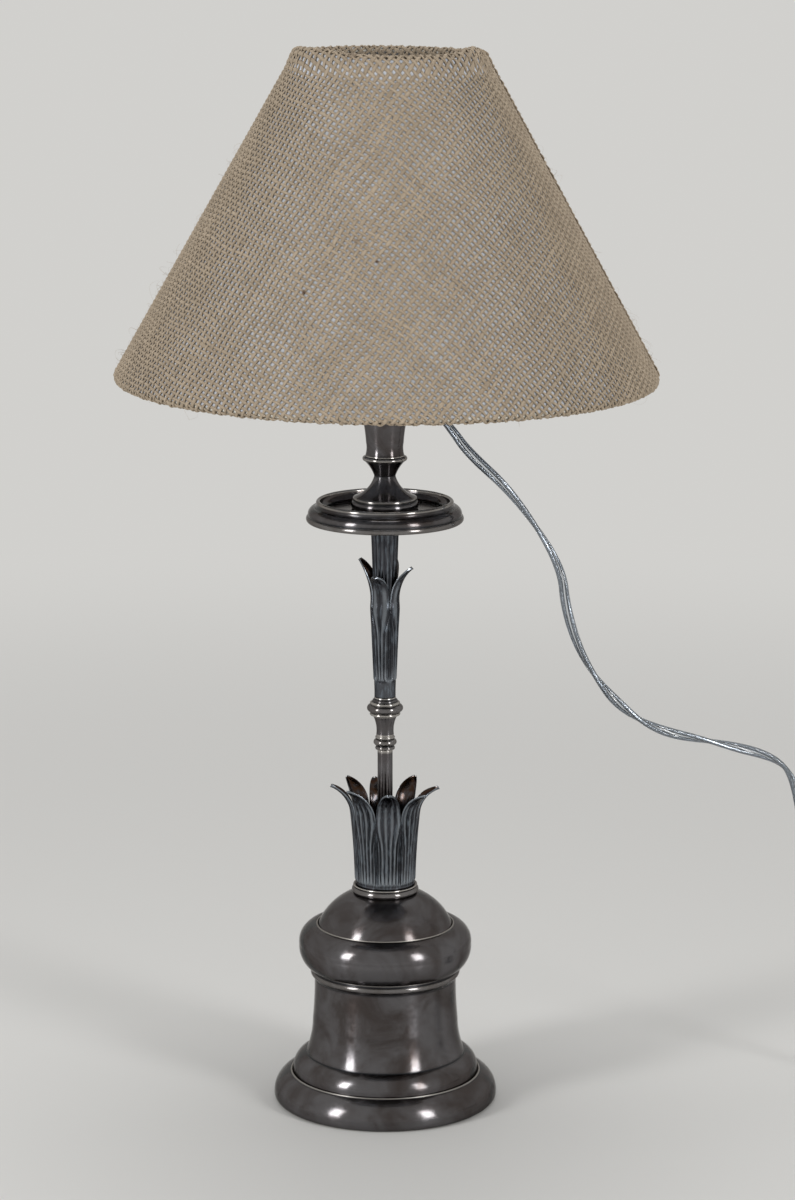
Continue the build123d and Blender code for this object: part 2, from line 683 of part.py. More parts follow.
def make_cord():
    parts["cord_drop"], drop_length = cord_tube(HANGING_ROUTE, "cord_drop")

    last = COIL_TURNS_IN + 0.5 + COIL_TURNS_OUT
    stations = [i * 0.25 for i in range(int(last / 0.25) + 1)]
    start = coil_point(0)
    edges = [Line(start - Vector(CORD_STRAIGHT, 0, 0), start)]
    for here, there in zip(stations, stations[1:]):
        edges += biarc(
            coil_point(here), coil_direction(here, last),
            coil_point(there), coil_direction(there, last),
        )
    end = coil_point(last)
    tail_start = end + Vector(0, -CORD_STRAIGHT, 0)
    edges.append(Line(end, tail_start))
    path = Wire([edge.edge() for edge in edges])
    section = Plane(origin=start - Vector(CORD_STRAIGHT, 0, 0), z_dir=(1, 0, 0)) * Circle(CORD / 2)
    coil = sweep(section, path=path)
    wanted = math.pi * (CORD / 2) ** 2 * path.length
    parts["cord_coil"] = coil
    print(f"cord_coil: length {path.length:.1f}, volume ratio {coil.volume / wanted:.4f}, "
          f"least gap {coil_gap(last):.2f}")

    x, y, z = tail_start.X, tail_start.Y, tail_start.Z
    tail_route = [
        (x, y, z),
        (x, y - 13.0, z),
        (x + 3.2, y - 28.0, PLUG_LEVEL + 0.5),
        (x + 4.4, y - 45.0, PLUG_LEVEL),
        (x + 4.4, y - 57.0, PLUG_LEVEL),
    ]
    parts["cord_tail"], tail_length = cord_tube(tail_route, "cord_tail")
    print(f"whole cord: {drop_length + path.length + tail_length:.0f} mm")
    make_plug(tail_route[-1])


def make_plug(entry):
    """Flat two-pin plug lying beside the coil, its cord entry at the given point and its
    pins pointing towards the front."""
    facing = Plane(origin=entry, x_dir=(1, 0, 0), z_dir=(0, -1, 0))
    neck = loft([
        facing * Circle(3.4),
        facing.offset(PLUG_RELIEF) * Ellipse(6.6, 4.6),
    ])
    face_shape = SlotOverall(PLUG_WIDTH, PLUG_DEPTH)
    body = extrude(facing.offset(PLUG_RELIEF) * face_shape, PLUG_BODY)
    body_edges = body.faces().sort_by(Axis.Y)
    body = fillet([*body_edges[0].edges(), *body_edges[-1].edges()], 1.6)
    parts["plug_body"] = neck + body
    pin_start = PLUG_RELIEF + PLUG_BODY
    pins = []
    for side in (-1, 1):
        foot = facing.offset(pin_start + 0.02) * Pos(side * PIN_SPACING / 2, 0)
        pin = extrude(foot * Circle(PIN_RADIUS), PIN_LENGTH)
        pins.append(chamfer(pin.edges().sort_by(Axis.Y)[0], 0.7))
    parts["plug_pins"] = Compound(children=pins)


make_base()
make_leaves()
make_column()
make_outlet()
make_holder()
make_shade()
make_cord()

os.makedirs("parts", exist_ok=True)
for name, shape in parts.items():
    export_step(shape, f"parts/{name}.step")
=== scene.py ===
"""Looks of a candlestick lamp, built around its packed model.

A silver-plated candlestick of spun and turned brass carries a rubber stopper with a cord
outlet, a small-screw lampholder and a jute shade that tilts on a gimbal. Each new piece is a
surface worked out on a grid. Lengths in this file are millimetres, unless a name ends in _m.
"""
import json
import math

import bpy
import numpy as np
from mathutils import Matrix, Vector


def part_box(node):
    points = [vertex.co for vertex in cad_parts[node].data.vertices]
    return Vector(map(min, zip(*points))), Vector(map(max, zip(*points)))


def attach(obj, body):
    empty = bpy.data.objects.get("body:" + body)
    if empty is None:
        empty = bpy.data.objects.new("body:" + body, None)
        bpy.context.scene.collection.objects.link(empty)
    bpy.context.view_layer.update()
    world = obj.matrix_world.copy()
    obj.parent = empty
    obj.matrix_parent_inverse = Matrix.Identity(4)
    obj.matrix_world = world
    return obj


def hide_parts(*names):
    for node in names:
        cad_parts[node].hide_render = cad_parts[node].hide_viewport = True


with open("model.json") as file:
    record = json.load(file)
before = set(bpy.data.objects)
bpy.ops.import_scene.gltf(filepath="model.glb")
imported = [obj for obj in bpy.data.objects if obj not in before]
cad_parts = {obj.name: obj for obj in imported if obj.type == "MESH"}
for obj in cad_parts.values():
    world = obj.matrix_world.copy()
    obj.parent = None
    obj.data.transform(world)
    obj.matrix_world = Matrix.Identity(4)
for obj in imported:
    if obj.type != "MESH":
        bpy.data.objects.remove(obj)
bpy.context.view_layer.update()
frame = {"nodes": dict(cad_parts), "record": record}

bl_info = {
    "name": "Candlestick lamp",
    "version": (1, 0, 0),
    "blender": (4, 5, 0),
    "location": "View3D > Sidebar > Lamp",
    "description": "Builds a silver-plated candlestick lamp with a jute shade",
    "category": "Add Mesh",
}

MM = 0.001
BAKE_MAP = "OFBake"           # name of the uv map shared by the weave and its material; name of a map that the export keeps
PHOTO_HEIGHT = 1200           # pixels
BORE = 2.7                    # radius of the hole that the tie rod runs through


# ---------------------------------------------------------------- sizes
def linear(hex_colour):
    """sRGB hex as linear red, green, blue and alpha: c/12.92 up to 0.04045, and past it
    ((c + 0.055)/1.055)^2.4."""
    channels = [int(hex_colour[i:i + 2], 16) / 255 for i in (1, 3, 5)]
    return [c / 12.92 if c <= 0.04045 else ((c + 0.055) / 1.055) ** 2.4 for c in channels] + [1.0]


def span(node):
    """Reach from the lamp's axis towards +X, lowest and highest point of a CAD node."""
    low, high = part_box(node)
    return high.x / MM, low.z / MM, high.z / MM


def colour(name, description, default):
    """A colour setting whose default is given as sRGB hex."""
    return bpy.props.FloatVectorProperty(
        name=name, description=description, subtype="COLOR", size=4, min=0, max=1,
        default=linear(default))


class LampPlate(bpy.types.PropertyGroup):
    """Silver plate on the candlestick."""

    # plate and chased colours are far darker than clean silver: tarnish, and a painted reflection
    # of a dark room
    plate: colour("Plate", "Polished silver where it is kept bright", "#5F5D5F")
    tarnish: colour("Tarnish", "Thin brown sulphide film over the plate", "#322722")
    oxide: colour("Oxide", "Blue-black sulphide in grooves", "#15181D")
    chased: colour("Chased plate", "Oxidised silver between the reeds and ribs", "#45464B")
    # pale blue-grey streaks on the chased leaves: a painted highlight
    highlight_streak: colour("Bloom", "Pale blue-grey bloom on the chased leaves", "#717B85")
    bright: colour("Bright edge", "Edges that handling rubs clean", "#D9D4CD")
    ridge: colour("Bright ridge", "Tops of reeds and ribs, rubbed to a cool grey", "#AEB6BE")
    # brown inside the leaves and the dish: tarnish, and a painted reflection of the jute shade
    copper: colour("Copper brown", "Heavy tarnish inside leaves and dish", "#3B2717")
    polish: bpy.props.FloatProperty(
        name="Polish roughness", description="Roughness of the clean plate", default=0.16,
        min=0.02, max=1)
    segments: bpy.props.IntProperty(
        name="Segments", description="Faces around each turned piece", default=160, min=24)


class LampLeaves(bpy.types.PropertyGroup):
    """Chased leaves of the two leaf cups."""

    wall: bpy.props.FloatProperty(
        name="Wall", description="Thickness of a leaf in mm", default=0.8, min=0.3, max=2)
    relief: bpy.props.FloatProperty(
        name="Relief", description="Height of a reed above its groove in mm", default=0.62,
        min=0, max=1.5)
    spoon: bpy.props.FloatProperty(
        name="Spoon", description="How far a leaf's edges curl towards the stem in mm",
        default=1.5, min=0, max=4)
    reeds: bpy.props.IntProperty(
        name="Stem reeds", description="Reeds around the upper stem", default=16, min=6)


class LampJute(bpy.types.PropertyGroup):
    """Jute cover and lining of the shade."""

    warp_spacing: bpy.props.FloatProperty(
        name="Warp spacing", description="From one warp yarn to the next in mm", default=3.52,
        min=1, max=8)
    weft_spacing: bpy.props.FloatProperty(
        name="Weft spacing", description="From one weft yarn to the next in mm", default=2.82,
        min=1, max=8)
    warp_width: bpy.props.FloatProperty(
        name="Warp width", description="Width of a flattened warp yarn in mm", default=1.82,
        min=0.5, max=6)
    weft_width: bpy.props.FloatProperty(
        name="Weft width", description="Width of a flattened weft yarn in mm", default=1.46,
        min=0.5, max=6)
    thickness: bpy.props.FloatProperty(
        name="Yarn thickness", description="Thickness of a flattened yarn in mm", default=0.82,
        min=0.2, max=2)
    crimp: bpy.props.FloatProperty(
        name="Crimp", description="How far a yarn waves to each side of the cloth in mm",
        default=0.36, min=0, max=1)
    hem: bpy.props.FloatProperty(
        name="Hem", description="Cloth folded in past each wire in mm", default=8.0, min=2)
    light: colour("Light thread", "Clean jute fibre", "#AB9B86")
    dark: colour("Dark thread", "Weathered jute fibre", "#776957")
    lining: colour("Lining", "Cool white backing cloth", "#C8CBD1")
    seed: bpy.props.IntProperty(name="Seed", description="Draw of the thread faults", default=7)


class LampFlex(bpy.types.PropertyGroup):
    """Clear twin flex and its plug."""

    width: bpy.props.FloatProperty(
        name="Width", description="Width of the flat twin flex in mm", default=5.6, min=2)
    thickness: bpy.props.FloatProperty(
        name="Thickness", description="Thickness of the flat twin flex in mm", default=2.8,
        min=1)
    sheath: colour("Sheath", "Clear PVC sheath", "#DCE1E6")
    wire: colour("Wire", "Tinned copper strands", "#C9CED4")
    plug: colour("Plug", "Moulded plug body", "#E4E4DE")


class LampStage(bpy.types.PropertyGroup):
    """Floor, light and camera."""

    floor: colour("Floor", "Pale paper sweep", "#D6D5D2")
    world: bpy.props.FloatProperty(
        name="World light", description="Strength of the even light from all sides",
        default=0.40, min=0)
    backdrop: bpy.props.FloatProperty(
        name="Backdrop", description="Level at which the backdrop shows", default=0.95, min=0)
    lamp_power: bpy.props.FloatProperty(
        name="Lamp power", description="Power of each soft box", default=16.0, min=0,
        unit="POWER")


SETTINGS = {
    "lamp_plate": LampPlate,
    "lamp_leaves": LampLeaves,
    "lamp_jute": LampJute,
    "lamp_flex": LampFlex,
    "lamp_stage": LampStage,
}


# ---------------------------------------------------------------- numbers and outlines
def smooth(value, start, end):
    """Smooth step: 3t^2 - 2t^3 with t rising from 0 at start to 1 at end."""
    t = np.clip((np.asarray(value, float) - start) / (end - start), 0, 1)
    return t * t * (3 - 2 * t)


def bell(value, middle, width):
    """Bell curve exp(-((value - middle)/width)^2)."""
    return np.exp(-((value - middle) / width) ** 2)


def wander(rng, lines, places, knot):
    """Smooth random numbers from -1 to 1 for several lines at the same places: random knots
    every knot mm along each line, joined by a smooth step."""
    spot = (places - places.min()) / knot
    first = np.floor(spot).astype(int)
    share = smooth(spot - first, 0, 1)
    knots = rng.uniform(-1, 1, (lines, first.max() + 2))
    return knots[:, first] * (1 - share) + knots[:, first + 1] * share


def travelled(points):
    """Distance along a polyline at each of its points."""
    return np.concatenate([[0], np.cumsum(np.linalg.norm(np.diff(points, axis=0), axis=1))])


def averaging(reach):
    """Weights of a moving average over reach points to each side: a raised cosine."""
    weights = np.hanning(2 * reach + 1)
    return weights / weights.sum()


def arc(start, middle, end, step=0.8):
    """Points after start on the circle through three points. The centre is where the
    bisectors of the chords meet, and the angle runs evenly from start to end."""
    a, b, c = (np.asarray(point, float) for point in (start, middle, end))
    chords = np.array([b - a, c - a])
    centre = np.linalg.solve(2 * chords, [b @ b - a @ a, c @ c - a @ a])
    first, through, last = (math.atan2(*(point - centre)[::-1]) for point in (a, b, c))
    turn = 2 * math.pi
    through = (through - first) % turn
    last = (last - first) % turn
    if through > last:
        last -= turn
    radius = np.linalg.norm(a - centre)
    count = max(4, math.ceil(abs(last) * radius / step))
    angles = first + last * np.arange(1, count + 1) / count
    return centre + radius * np.stack([np.cos(angles), np.sin(angles)], -1)


def outline(start, *steps):
    """(radius, height) points from start. A pair is the end of a straight edge; two pairs are
    the middle and the end of an arc."""
    longest_edge = 3
    points = [np.array([start], float)]
    for step in steps:
        here = points[-1][-1]
        if isinstance(step[0], tuple):
            points.append(arc(here, *step))
        else:
            count = max(1, math.ceil(math.dist(here, step) / longest_edge))
            share = np.arange(1, count + 1)[:, None] / count
            points.append(here + (np.array(step, float) - here) * share)
    return np.concatenate(points)


def softened(points, radius):
    """Closed outline whose corners are parabolas: a corner C between A and B, each radius
    away, becomes (1-t)^2 A + 2t(1-t) C + t^2 B. Returns the points and, for each, 1 on an
    outer corner and -1 on an inner one."""
    least_turn, full_wear_turn = 0.22, 0.9
    per_corner = 5
    most_of_edge = 0.45
    x, y = points.T
    twice_area = np.sum(x * np.roll(y, -1) - y * np.roll(x, -1))
    if twice_area < 0:
        points = points[::-1]
    back = np.roll(points, 1, 0) - points
    on = np.roll(points, -1, 0) - points
    back_length = np.linalg.norm(back, axis=1)[:, None]
    on_length = np.linalg.norm(on, axis=1)[:, None]
    back /= back_length
    on /= on_length
    turn = np.arctan2(on[:, 0] * back[:, 1] - on[:, 1] * back[:, 0], -np.sum(back * on, 1))
    reach = np.minimum(radius, most_of_edge * np.minimum(back_length, on_length))
    corner = np.abs(turn) > least_turn
    t = np.linspace(0, 1, per_corner)[None, :, None]
    first = (points + back * reach)[:, None]
    last = (points + on * reach)[:, None]
    middle = points[:, None]
    curve = (1 - t) ** 2 * first + 2 * t * (1 - t) * middle + t * t * last
    curve[~corner] = middle[~corner]
    keep = corner[:, None] | (np.arange(per_corner) == per_corner // 2)
    kind = np.sign(turn) * corner * np.minimum(1, np.abs(turn) / full_wear_turn)
    return curve[keep], np.repeat(kind[:, None], per_corner, 1)[keep]


def rounded(value, power):
    """sign(value) |value|^power, which makes a circle's cosines and sines those of a rounded
    rectangle."""
    return np.sign(value) * np.abs(value) ** power


def about_axis(radius, angle, height):
    """Points (r sin a, -r cos a, z): the front, -Y, is at a = 0 and +X a quarter turn on."""
    return np.stack(
        np.broadcast_arrays(radius * np.sin(angle), -radius * np.cos(angle), height), -1)


def closed_grid(rows, columns, close_rows=False, close_columns=False):
    """Quads of a grid of points numbered row by row, and each corner's row and column. Where
    a side is closed, its last corners count on past the end."""
    i = np.arange(rows if close_rows else rows - 1)
    j = np.arange(columns if close_columns else columns - 1)
    i, j = (a.ravel()[:, None] for a in np.meshgrid(i, j, indexing="ij"))
    row = i + np.array([0, 1, 1, 0])
    column = j + np.array([0, 0, 1, 1])
    return row % rows * columns + column % columns, row, column


def capped(rows, columns):
    """Faces of a closed section carried along rows of points, with a cap at each end. Seen
    from the last row, the section's points run counter-clockwise."""
    quads, _, _ = closed_grid(rows, columns, close_columns=True)
    end = np.arange(columns)[None]
    return [quads[:, ::-1], end[:, ::-1], end + (rows - 1) * columns]


# ---------------------------------------------------------------- making pieces
def make_piece(name, points, faces, material, body, marks=None, uv=None, stands_for=()):
    """Puts a piece into the scene. points are (n, 3) in mm, faces a list of (m, corners)
    arrays, marks numbers per point, and uv a layer's name with (corners, 2) metres."""
    mesh = bpy.data.meshes.new(name)
    corners = np.concatenate([group.ravel() for group in faces]).astype(np.int32)
    counts = np.concatenate([np.full(len(group), group.shape[1]) for group in faces])
    starts = np.concatenate([[0], np.cumsum(counts)[:-1]]).astype(np.int32)
    mesh.vertices.add(len(points))
    mesh.vertices.foreach_set("co", (points * MM).astype(np.float32).ravel())
    mesh.loops.add(len(corners))
    mesh.loops.foreach_set("vertex_index", corners)
    mesh.polygons.add(len(starts))
    mesh.polygons.foreach_set("loop_start", starts)
    mesh.polygons.foreach_set("use_smooth", np.ones(len(starts), bool))
    for mark, values in (marks or {}).items():
        layer = mesh.attributes.new(mark, "FLOAT", "POINT")
        layer.data.foreach_set("value", np.asarray(values, np.float32).ravel())
    if uv:
        layer = mesh.uv_layers.new(name=uv[0])
        layer.uv.foreach_set("vector", uv[1].astype(np.float32).ravel())
    mesh.update(calc_edges=True)
    mesh.validate()
    piece = bpy.data.objects.new(name, mesh)
    bpy.context.scene.collection.objects.link(piece)
    mesh.materials.append(finish(material))
    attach(piece, body)
    if stands_for:
        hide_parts(*stands_for)
    return piece


def turned_surface(shape, segments, radius=0.28):
    """Points, quads, marks and uv of a closed outline turned about the lamp's axis. Wear and
    recess are bells along the outline round its outer and inner corners."""
    mark_width = 0.45
    shape, kind = softened(shape, radius)
    angle = 2 * math.pi * np.arange(segments)[:, None] / segments
    r, z = shape[:, 0], shape[:, 1]
    points = about_axis(r, angle, z)
    quads, row, column = closed_grid(
        segments, len(shape), close_rows=True, close_columns=True)
    step = np.linalg.norm(np.roll(shape, -1, 0) - shape, axis=1)
    along = np.concatenate([[0], np.cumsum(step)])
    round_m = 2 * math.pi * r.max() * MM
    uv = np.stack([row / segments * round_m, along[column] * MM], -1)
    near = np.abs(along[:-1, None] - along[None, :-1])
    near = bell(np.minimum(near, along[-1] - near), 0, mark_width)
    wear = (near * np.maximum(kind, 0)).max(1)
    recess = (near * np.maximum(-kind, 0)).max(1)
    marks = {"wear": np.tile(wear, segments), "recess": np.tile(recess, segments)}
    return points.reshape(-1, 3), quads, marks, uv


def turned_piece(node, shape, tarnish_and_reflection=None):
    """A turned piece of the candlestick that stands for a CAD node. Its stain function gives,
    from radius and height, brown for tarnish and for a painted reflection of the shade."""
    segments = bpy.context.scene.lamp_plate.segments
    points, quads, marks, uv = turned_surface(shape, segments)
    reach = np.hypot(points[:, 0], points[:, 1])
    marks["tarnish_and_reflection"] = tarnish_and_reflection(reach, points[:, 2]) if tarnish_and_reflection else 0 * reach
    return make_piece(f"{node}_turned", points, [quads], "tarnished_silver_plate", "root",
                      marks, ("Turning", uv), (node,))


# ---------------------------------------------------------------- materials
def add_node(tree, kind, inputs=None, **settings):
    """Adds a node. An input given as a socket is linked, and any other value is set."""
    node = tree.nodes.new(kind)
    for name, value in settings.items():
        setattr(node, name, value)
    for name, value in (inputs or {}).items():
        if isinstance(value, bpy.types.NodeSocket):
            tree.links.new(value, node.inputs[name])
        else:
            node.inputs[name].default_value = value
    return node


def new_material(name, **values):
    """Material with one Principled shader and the given plain values on it."""
    material = bpy.data.materials.new(name)
    material.use_nodes = True
    tree = material.node_tree
    tree.nodes.clear()
    shader = add_node(tree, "ShaderNodeBsdfPrincipled", values)
    add_node(tree, "ShaderNodeOutputMaterial", {"Surface": shader.outputs[0]})
    return material, tree, shader


def make_silver(name, highlight_streak_share):
    """Silver plate on brass, spun or chased, polished and tarnished under a clear lacquer: a
    metal whose thin brown film comes and goes in clouds, black in grooves, bright on rubbed
    edges, with faint rings from the buffing wheel that draw its lights out along the axis.
    Its plate colours are far darker than clean silver, for tarnish and for a painted
    reflection of a dark room, and the brown inside the leaves and the dish is tarnish and a
    painted reflection of the shade. The second argument is how much painted pale highlight
    lies in streaks on it; only chased plate has any."""
    look = bpy.context.scene.lamp_plate
    chased = highlight_streak_share > 0
    material, tree, shader = new_material(name, **{
        "Metallic": 1.0, "Anisotropic": 0 if chased else 0.85, "Anisotropic Rotation": 0.25,
        "Specular Tint": linear("#8D8987"), "Coat Weight": 0.2 if chased else 0.5,
        "Coat Roughness": 0.14})
    lathe = add_node(tree, "ShaderNodeTangent", direction_type="RADIAL", axis="Z").outputs[0]
    tree.links.new(lathe, shader.inputs["Tangent"])
    place = add_node(tree, "ShaderNodeTexCoord").outputs["Object"]
    wear, recess, tarnish_and_reflection = (
        add_node(tree, "ShaderNodeAttribute", attribute_name=mark).outputs["Fac"]
        for mark in ("wear", "recess", "tarnish_and_reflection"))
    cloud_size_m = 0.030
    cloud = add_node(tree, "ShaderNodeTexNoise", {
        "Vector": place, "Scale": 1 / cloud_size_m, "Detail": 5.0, "Roughness": 0.62,
        "Distortion": 0.8}).outputs[0]
    mottle_size_m = 0.0035
    mottle = add_node(tree, "ShaderNodeTexNoise", {
        "Vector": place, "Scale": 1 / mottle_size_m, "Detail": 4.0, "Roughness": 0.6}).outputs[0]
    film = add_node(tree, "ShaderNodeMapRange", {
        "Value": cloud, "From Min": 0.36, "From Max": 0.68, "To Max": 0.8},
        interpolation_type="SMOOTHSTEP").outputs[0]
    # the dark plate colours stand for tarnish and for a painted reflection of a dark room
    clean, filmed = (look.chased, look.oxide) if chased else (look.plate, look.tarnish)
    base = add_node(tree, "ShaderNodeMix", {
        0: film, 6: clean, 7: filmed}, data_type="RGBA").outputs[2]
    # pale streaks drawn out along the axis on chased plate: a painted highlight
    if chased:
        streak_width_m = 0.0012
        stretched = add_node(tree, "ShaderNodeMapping", {"Vector": place, "Scale": (1, 1, 0.16)})
        streak = add_node(tree, "ShaderNodeTexNoise", {
            "Vector": stretched.outputs[0], "Scale": 1 / streak_width_m, "Detail": 3.0}).outputs[0]
        streaked_highlight = add_node(tree, "ShaderNodeMapRange", {
            "Value": streak, "From Min": 0.5, "From Max": 0.66, "To Max": highlight_streak_share}).outputs[0]
        base = add_node(tree, "ShaderNodeMix", {
            0: streaked_highlight, 6: base, 7: look.highlight_streak}, data_type="RGBA").outputs[2]
    # brown inside the leaves and the dish: tarnish, and a painted reflection of the shade
    brown = add_node(tree, "ShaderNodeMath", {
        0: tarnish_and_reflection, 1: mottle}, operation="MULTIPLY").outputs[0]
    brown = add_node(tree, "ShaderNodeMapRange", {
        "Value": brown, "From Min": 0.12, "From Max": 0.42}).outputs[0]
    base = add_node(tree, "ShaderNodeMix", {
        0: brown, 6: base, 7: look.copper}, data_type="RGBA").outputs[2]
    groove = add_node(tree, "ShaderNodeMath", {
        0: recess, 1: 0.92}, operation="MULTIPLY").outputs[0]
    base = add_node(tree, "ShaderNodeMix", {
        0: groove, 6: base, 7: look.oxide}, data_type="RGBA").outputs[2]
    rubbed = add_node(tree, "ShaderNodeMapRange", {
        "Value": wear, "From Min": 0.3, "From Max": 1.0, "To Max": 0.62}).outputs[0]
    base = add_node(tree, "ShaderNodeMix", {
        0: rubbed, 6: base, 7: look.ridge if chased else look.bright},
        data_type="RGBA").outputs[2]
    dull = add_node(tree, "ShaderNodeMapRange", {
        "Value": mottle, "From Min": 0.35, "From Max": 0.7, "To Min": look.polish,
        "To Max": look.polish + 0.11}).outputs[0]
    dull = add_node(tree, "ShaderNodeMath", {
        0: groove, 1: 0.3, 2: dull}, operation="MULTIPLY_ADD").outputs[0]
    around_per_m, rings_per_m = 6, 2600
    rings = add_node(tree, "ShaderNodeUVMap", uv_map="Turning").outputs[0]
    rings = add_node(tree, "ShaderNodeMapping", {
        "Vector": rings, "Scale": (around_per_m, rings_per_m, 1)}).outputs[0]
    rings = add_node(tree, "ShaderNodeTexNoise", {
        "Vector": rings, "Scale": 1.0, "Detail": 2.0}).outputs[0]
    bump = add_node(tree, "ShaderNodeBump", {
        "Strength": 0.35, "Distance": 0.00006, "Height": rings}).outputs[0]
    tree.links.new(base, shader.inputs["Base Color"])
    tree.links.new(dull, shader.inputs["Roughness"])
    tree.links.new(bump, shader.inputs["Normal"])
    return material


def make_plain(name, hex_light, hex_dark, size_m, **values):
    """A moulded, cast or painted finish: two near colours in soft clouds of size_m, and the
    same clouds lightly in its roughness and bump."""
    roughness = values.pop("Roughness")
    bump_m = values.pop("bump_m", 0.00003)
    material, tree, shader = new_material(name, **values)
    place = add_node(tree, "ShaderNodeTexCoord").outputs["Object"]
    cloud = add_node(tree, "ShaderNodeTexNoise", {
        "Vector": place, "Scale": 1 / size_m, "Detail": 4.0}).outputs[0]
    base = add_node(tree, "ShaderNodeMix", {
        0: cloud, 6: linear(hex_light), 7: linear(hex_dark)}, data_type="RGBA").outputs[2]
    dull = add_node(tree, "ShaderNodeMapRange", {
        "Value": cloud, "From Min": 0.3, "From Max": 0.7, "To Min": roughness * 0.8,
        "To Max": roughness * 1.2}).outputs[0]
    bump = add_node(tree, "ShaderNodeBump", {
        "Strength": 0.5, "Distance": bump_m, "Height": cloud}).outputs[0]
    tree.links.new(base, shader.inputs["Base Color"])
    tree.links.new(dull, shader.inputs["Roughness"])
    tree.links.new(bump, shader.inputs["Normal"])
    return material


def make_jute(name):
    """Jute yarn, spun and woven: dull plant fibre whose long fibrils catch light in streaks
    along the yarn, each yarn its own tan, with dark bast specks."""
    look = bpy.context.scene.lamp_jute
    material, tree, shader = new_material(name, **{
        "Roughness": 0.82, "Sheen Weight": 0.15, "Sheen Roughness": 0.5,
        "Sheen Tint": linear("#DDD5C6")})
    tone, speck = (
        add_node(tree, "ShaderNodeAttribute", attribute_name=mark).outputs["Fac"]
        for mark in ("tone", "speck"))
    along = add_node(tree, "ShaderNodeUVMap", uv_map=BAKE_MAP).outputs[0]
    fibril_length, fibril_width = 4.0, 0.27
    fibrils = add_node(tree, "ShaderNodeMapping", {
        "Vector": along, "Scale": (CLOTH_SPAN / fibril_length, CLOTH_SPAN / fibril_width, 1)})
    fibril = add_node(tree, "ShaderNodeTexNoise", {
        "Vector": fibrils.outputs[0], "Scale": 1.0, "Detail": 3.0}).outputs[0]
    share = add_node(tree, "ShaderNodeMath", {
        0: fibril, 1: 0.55, 2: tone}, operation="MULTIPLY_ADD").outputs[0]
    share = add_node(tree, "ShaderNodeMapRange", {
        "Value": share, "From Min": 0.25, "From Max": 1.15}).outputs[0]
    base = add_node(tree, "ShaderNodeMix", {
        0: share, 6: look.light, 7: look.dark}, data_type="RGBA").outputs[2]
    base = add_node(tree, "ShaderNodeMix", {
        0: speck, 6: base, 7: linear("#4A3524")}, data_type="RGBA").outputs[2]
    bump = add_node(tree, "ShaderNodeBump", {
        "Strength": 0.8, "Distance": 0.00012, "Height": fibril}).outputs[0]
    tree.links.new(base, shader.inputs["Base Color"])
    tree.links.new(bump, shader.inputs["Normal"])
    return material


def make_lining(name):
    """White cotton backing cloth, woven and glued: faint cool blue-white, with a fine thread
    grid drawn at twice its real size so that it shows."""
    look = bpy.context.scene.lamp_jute
    cloud_size_m, thread_m = 0.05, 0.0008
    material, tree, shader = new_material(name, Roughness=0.7)
    place = add_node(tree, "ShaderNodeTexCoord").outputs["Object"]
    cloud = add_node(tree, "ShaderNodeTexNoise", {
        "Vector": place, "Scale": 1 / cloud_size_m, "Detail": 4.0}).outputs[0]
    base = add_node(tree, "ShaderNodeMix", {
        0: cloud, 6: look.lining, 7: linear("#B6BBC4")}, data_type="RGBA").outputs[2]
    thread = add_node(tree, "ShaderNodeTexNoise", {
        "Vector": place, "Scale": 1 / thread_m, "Detail": 1.0}).outputs[0]
    bump = add_node(tree, "ShaderNodeBump", {
        "Strength": 0.4, "Distance": 0.0001, "Height": thread}).outputs[0]
    tree.links.new(base, shader.inputs["Base Color"])
    tree.links.new(bump, shader.inputs["Normal"])
    return material


def make_clear(name, tint, roughness, ior):
    """Clear moulded PVC or blown glass: it shows what is behind it, with a faint ripple."""
    ripple_size_m = 0.004
    material, tree, shader = new_material(name, **{
        "Base Color": tint, "Transmission Weight": 1.0, "Roughness": roughness, "IOR": ior})
    place = add_node(tree, "ShaderNodeTexCoord").outputs["Object"]
    ripple = add_node(tree, "ShaderNodeTexNoise", {
        "Vector": place, "Scale": 1 / ripple_size_m}).outputs[0]
    bump = add_node(tree, "ShaderNodeBump", {
        "Strength": 0.25, "Distance": 0.0001, "Height": ripple}).outputs[0]
    tree.links.new(bump, shader.inputs["Normal"])
    return material


def make_tinned_wire(name):
    """Tinned copper strands laid in a rope: bright metal whose lay shows as slanting lines of
    painted shade between the strands, read from the map that follows the wire."""
    look = bpy.context.scene.lamp_flex
    material, tree, shader = new_material(name, Metallic=1.0, Roughness=0.26)
    along = add_node(tree, "ShaderNodeUVMap", uv_map="Flex").outputs[0]
    strand_marks_per_m = 900
    lay = add_node(tree, "ShaderNodeTexNoise", {
        "Vector": along, "Scale": strand_marks_per_m}).outputs[0]
    # the darker colour is painted shade in the gaps between strands
    base = add_node(tree, "ShaderNodeMix", {
        0: lay, 6: look.wire, 7: linear("#4C525A")}, data_type="RGBA").outputs[2]
    tree.links.new(base, shader.inputs["Base Color"])
    return material


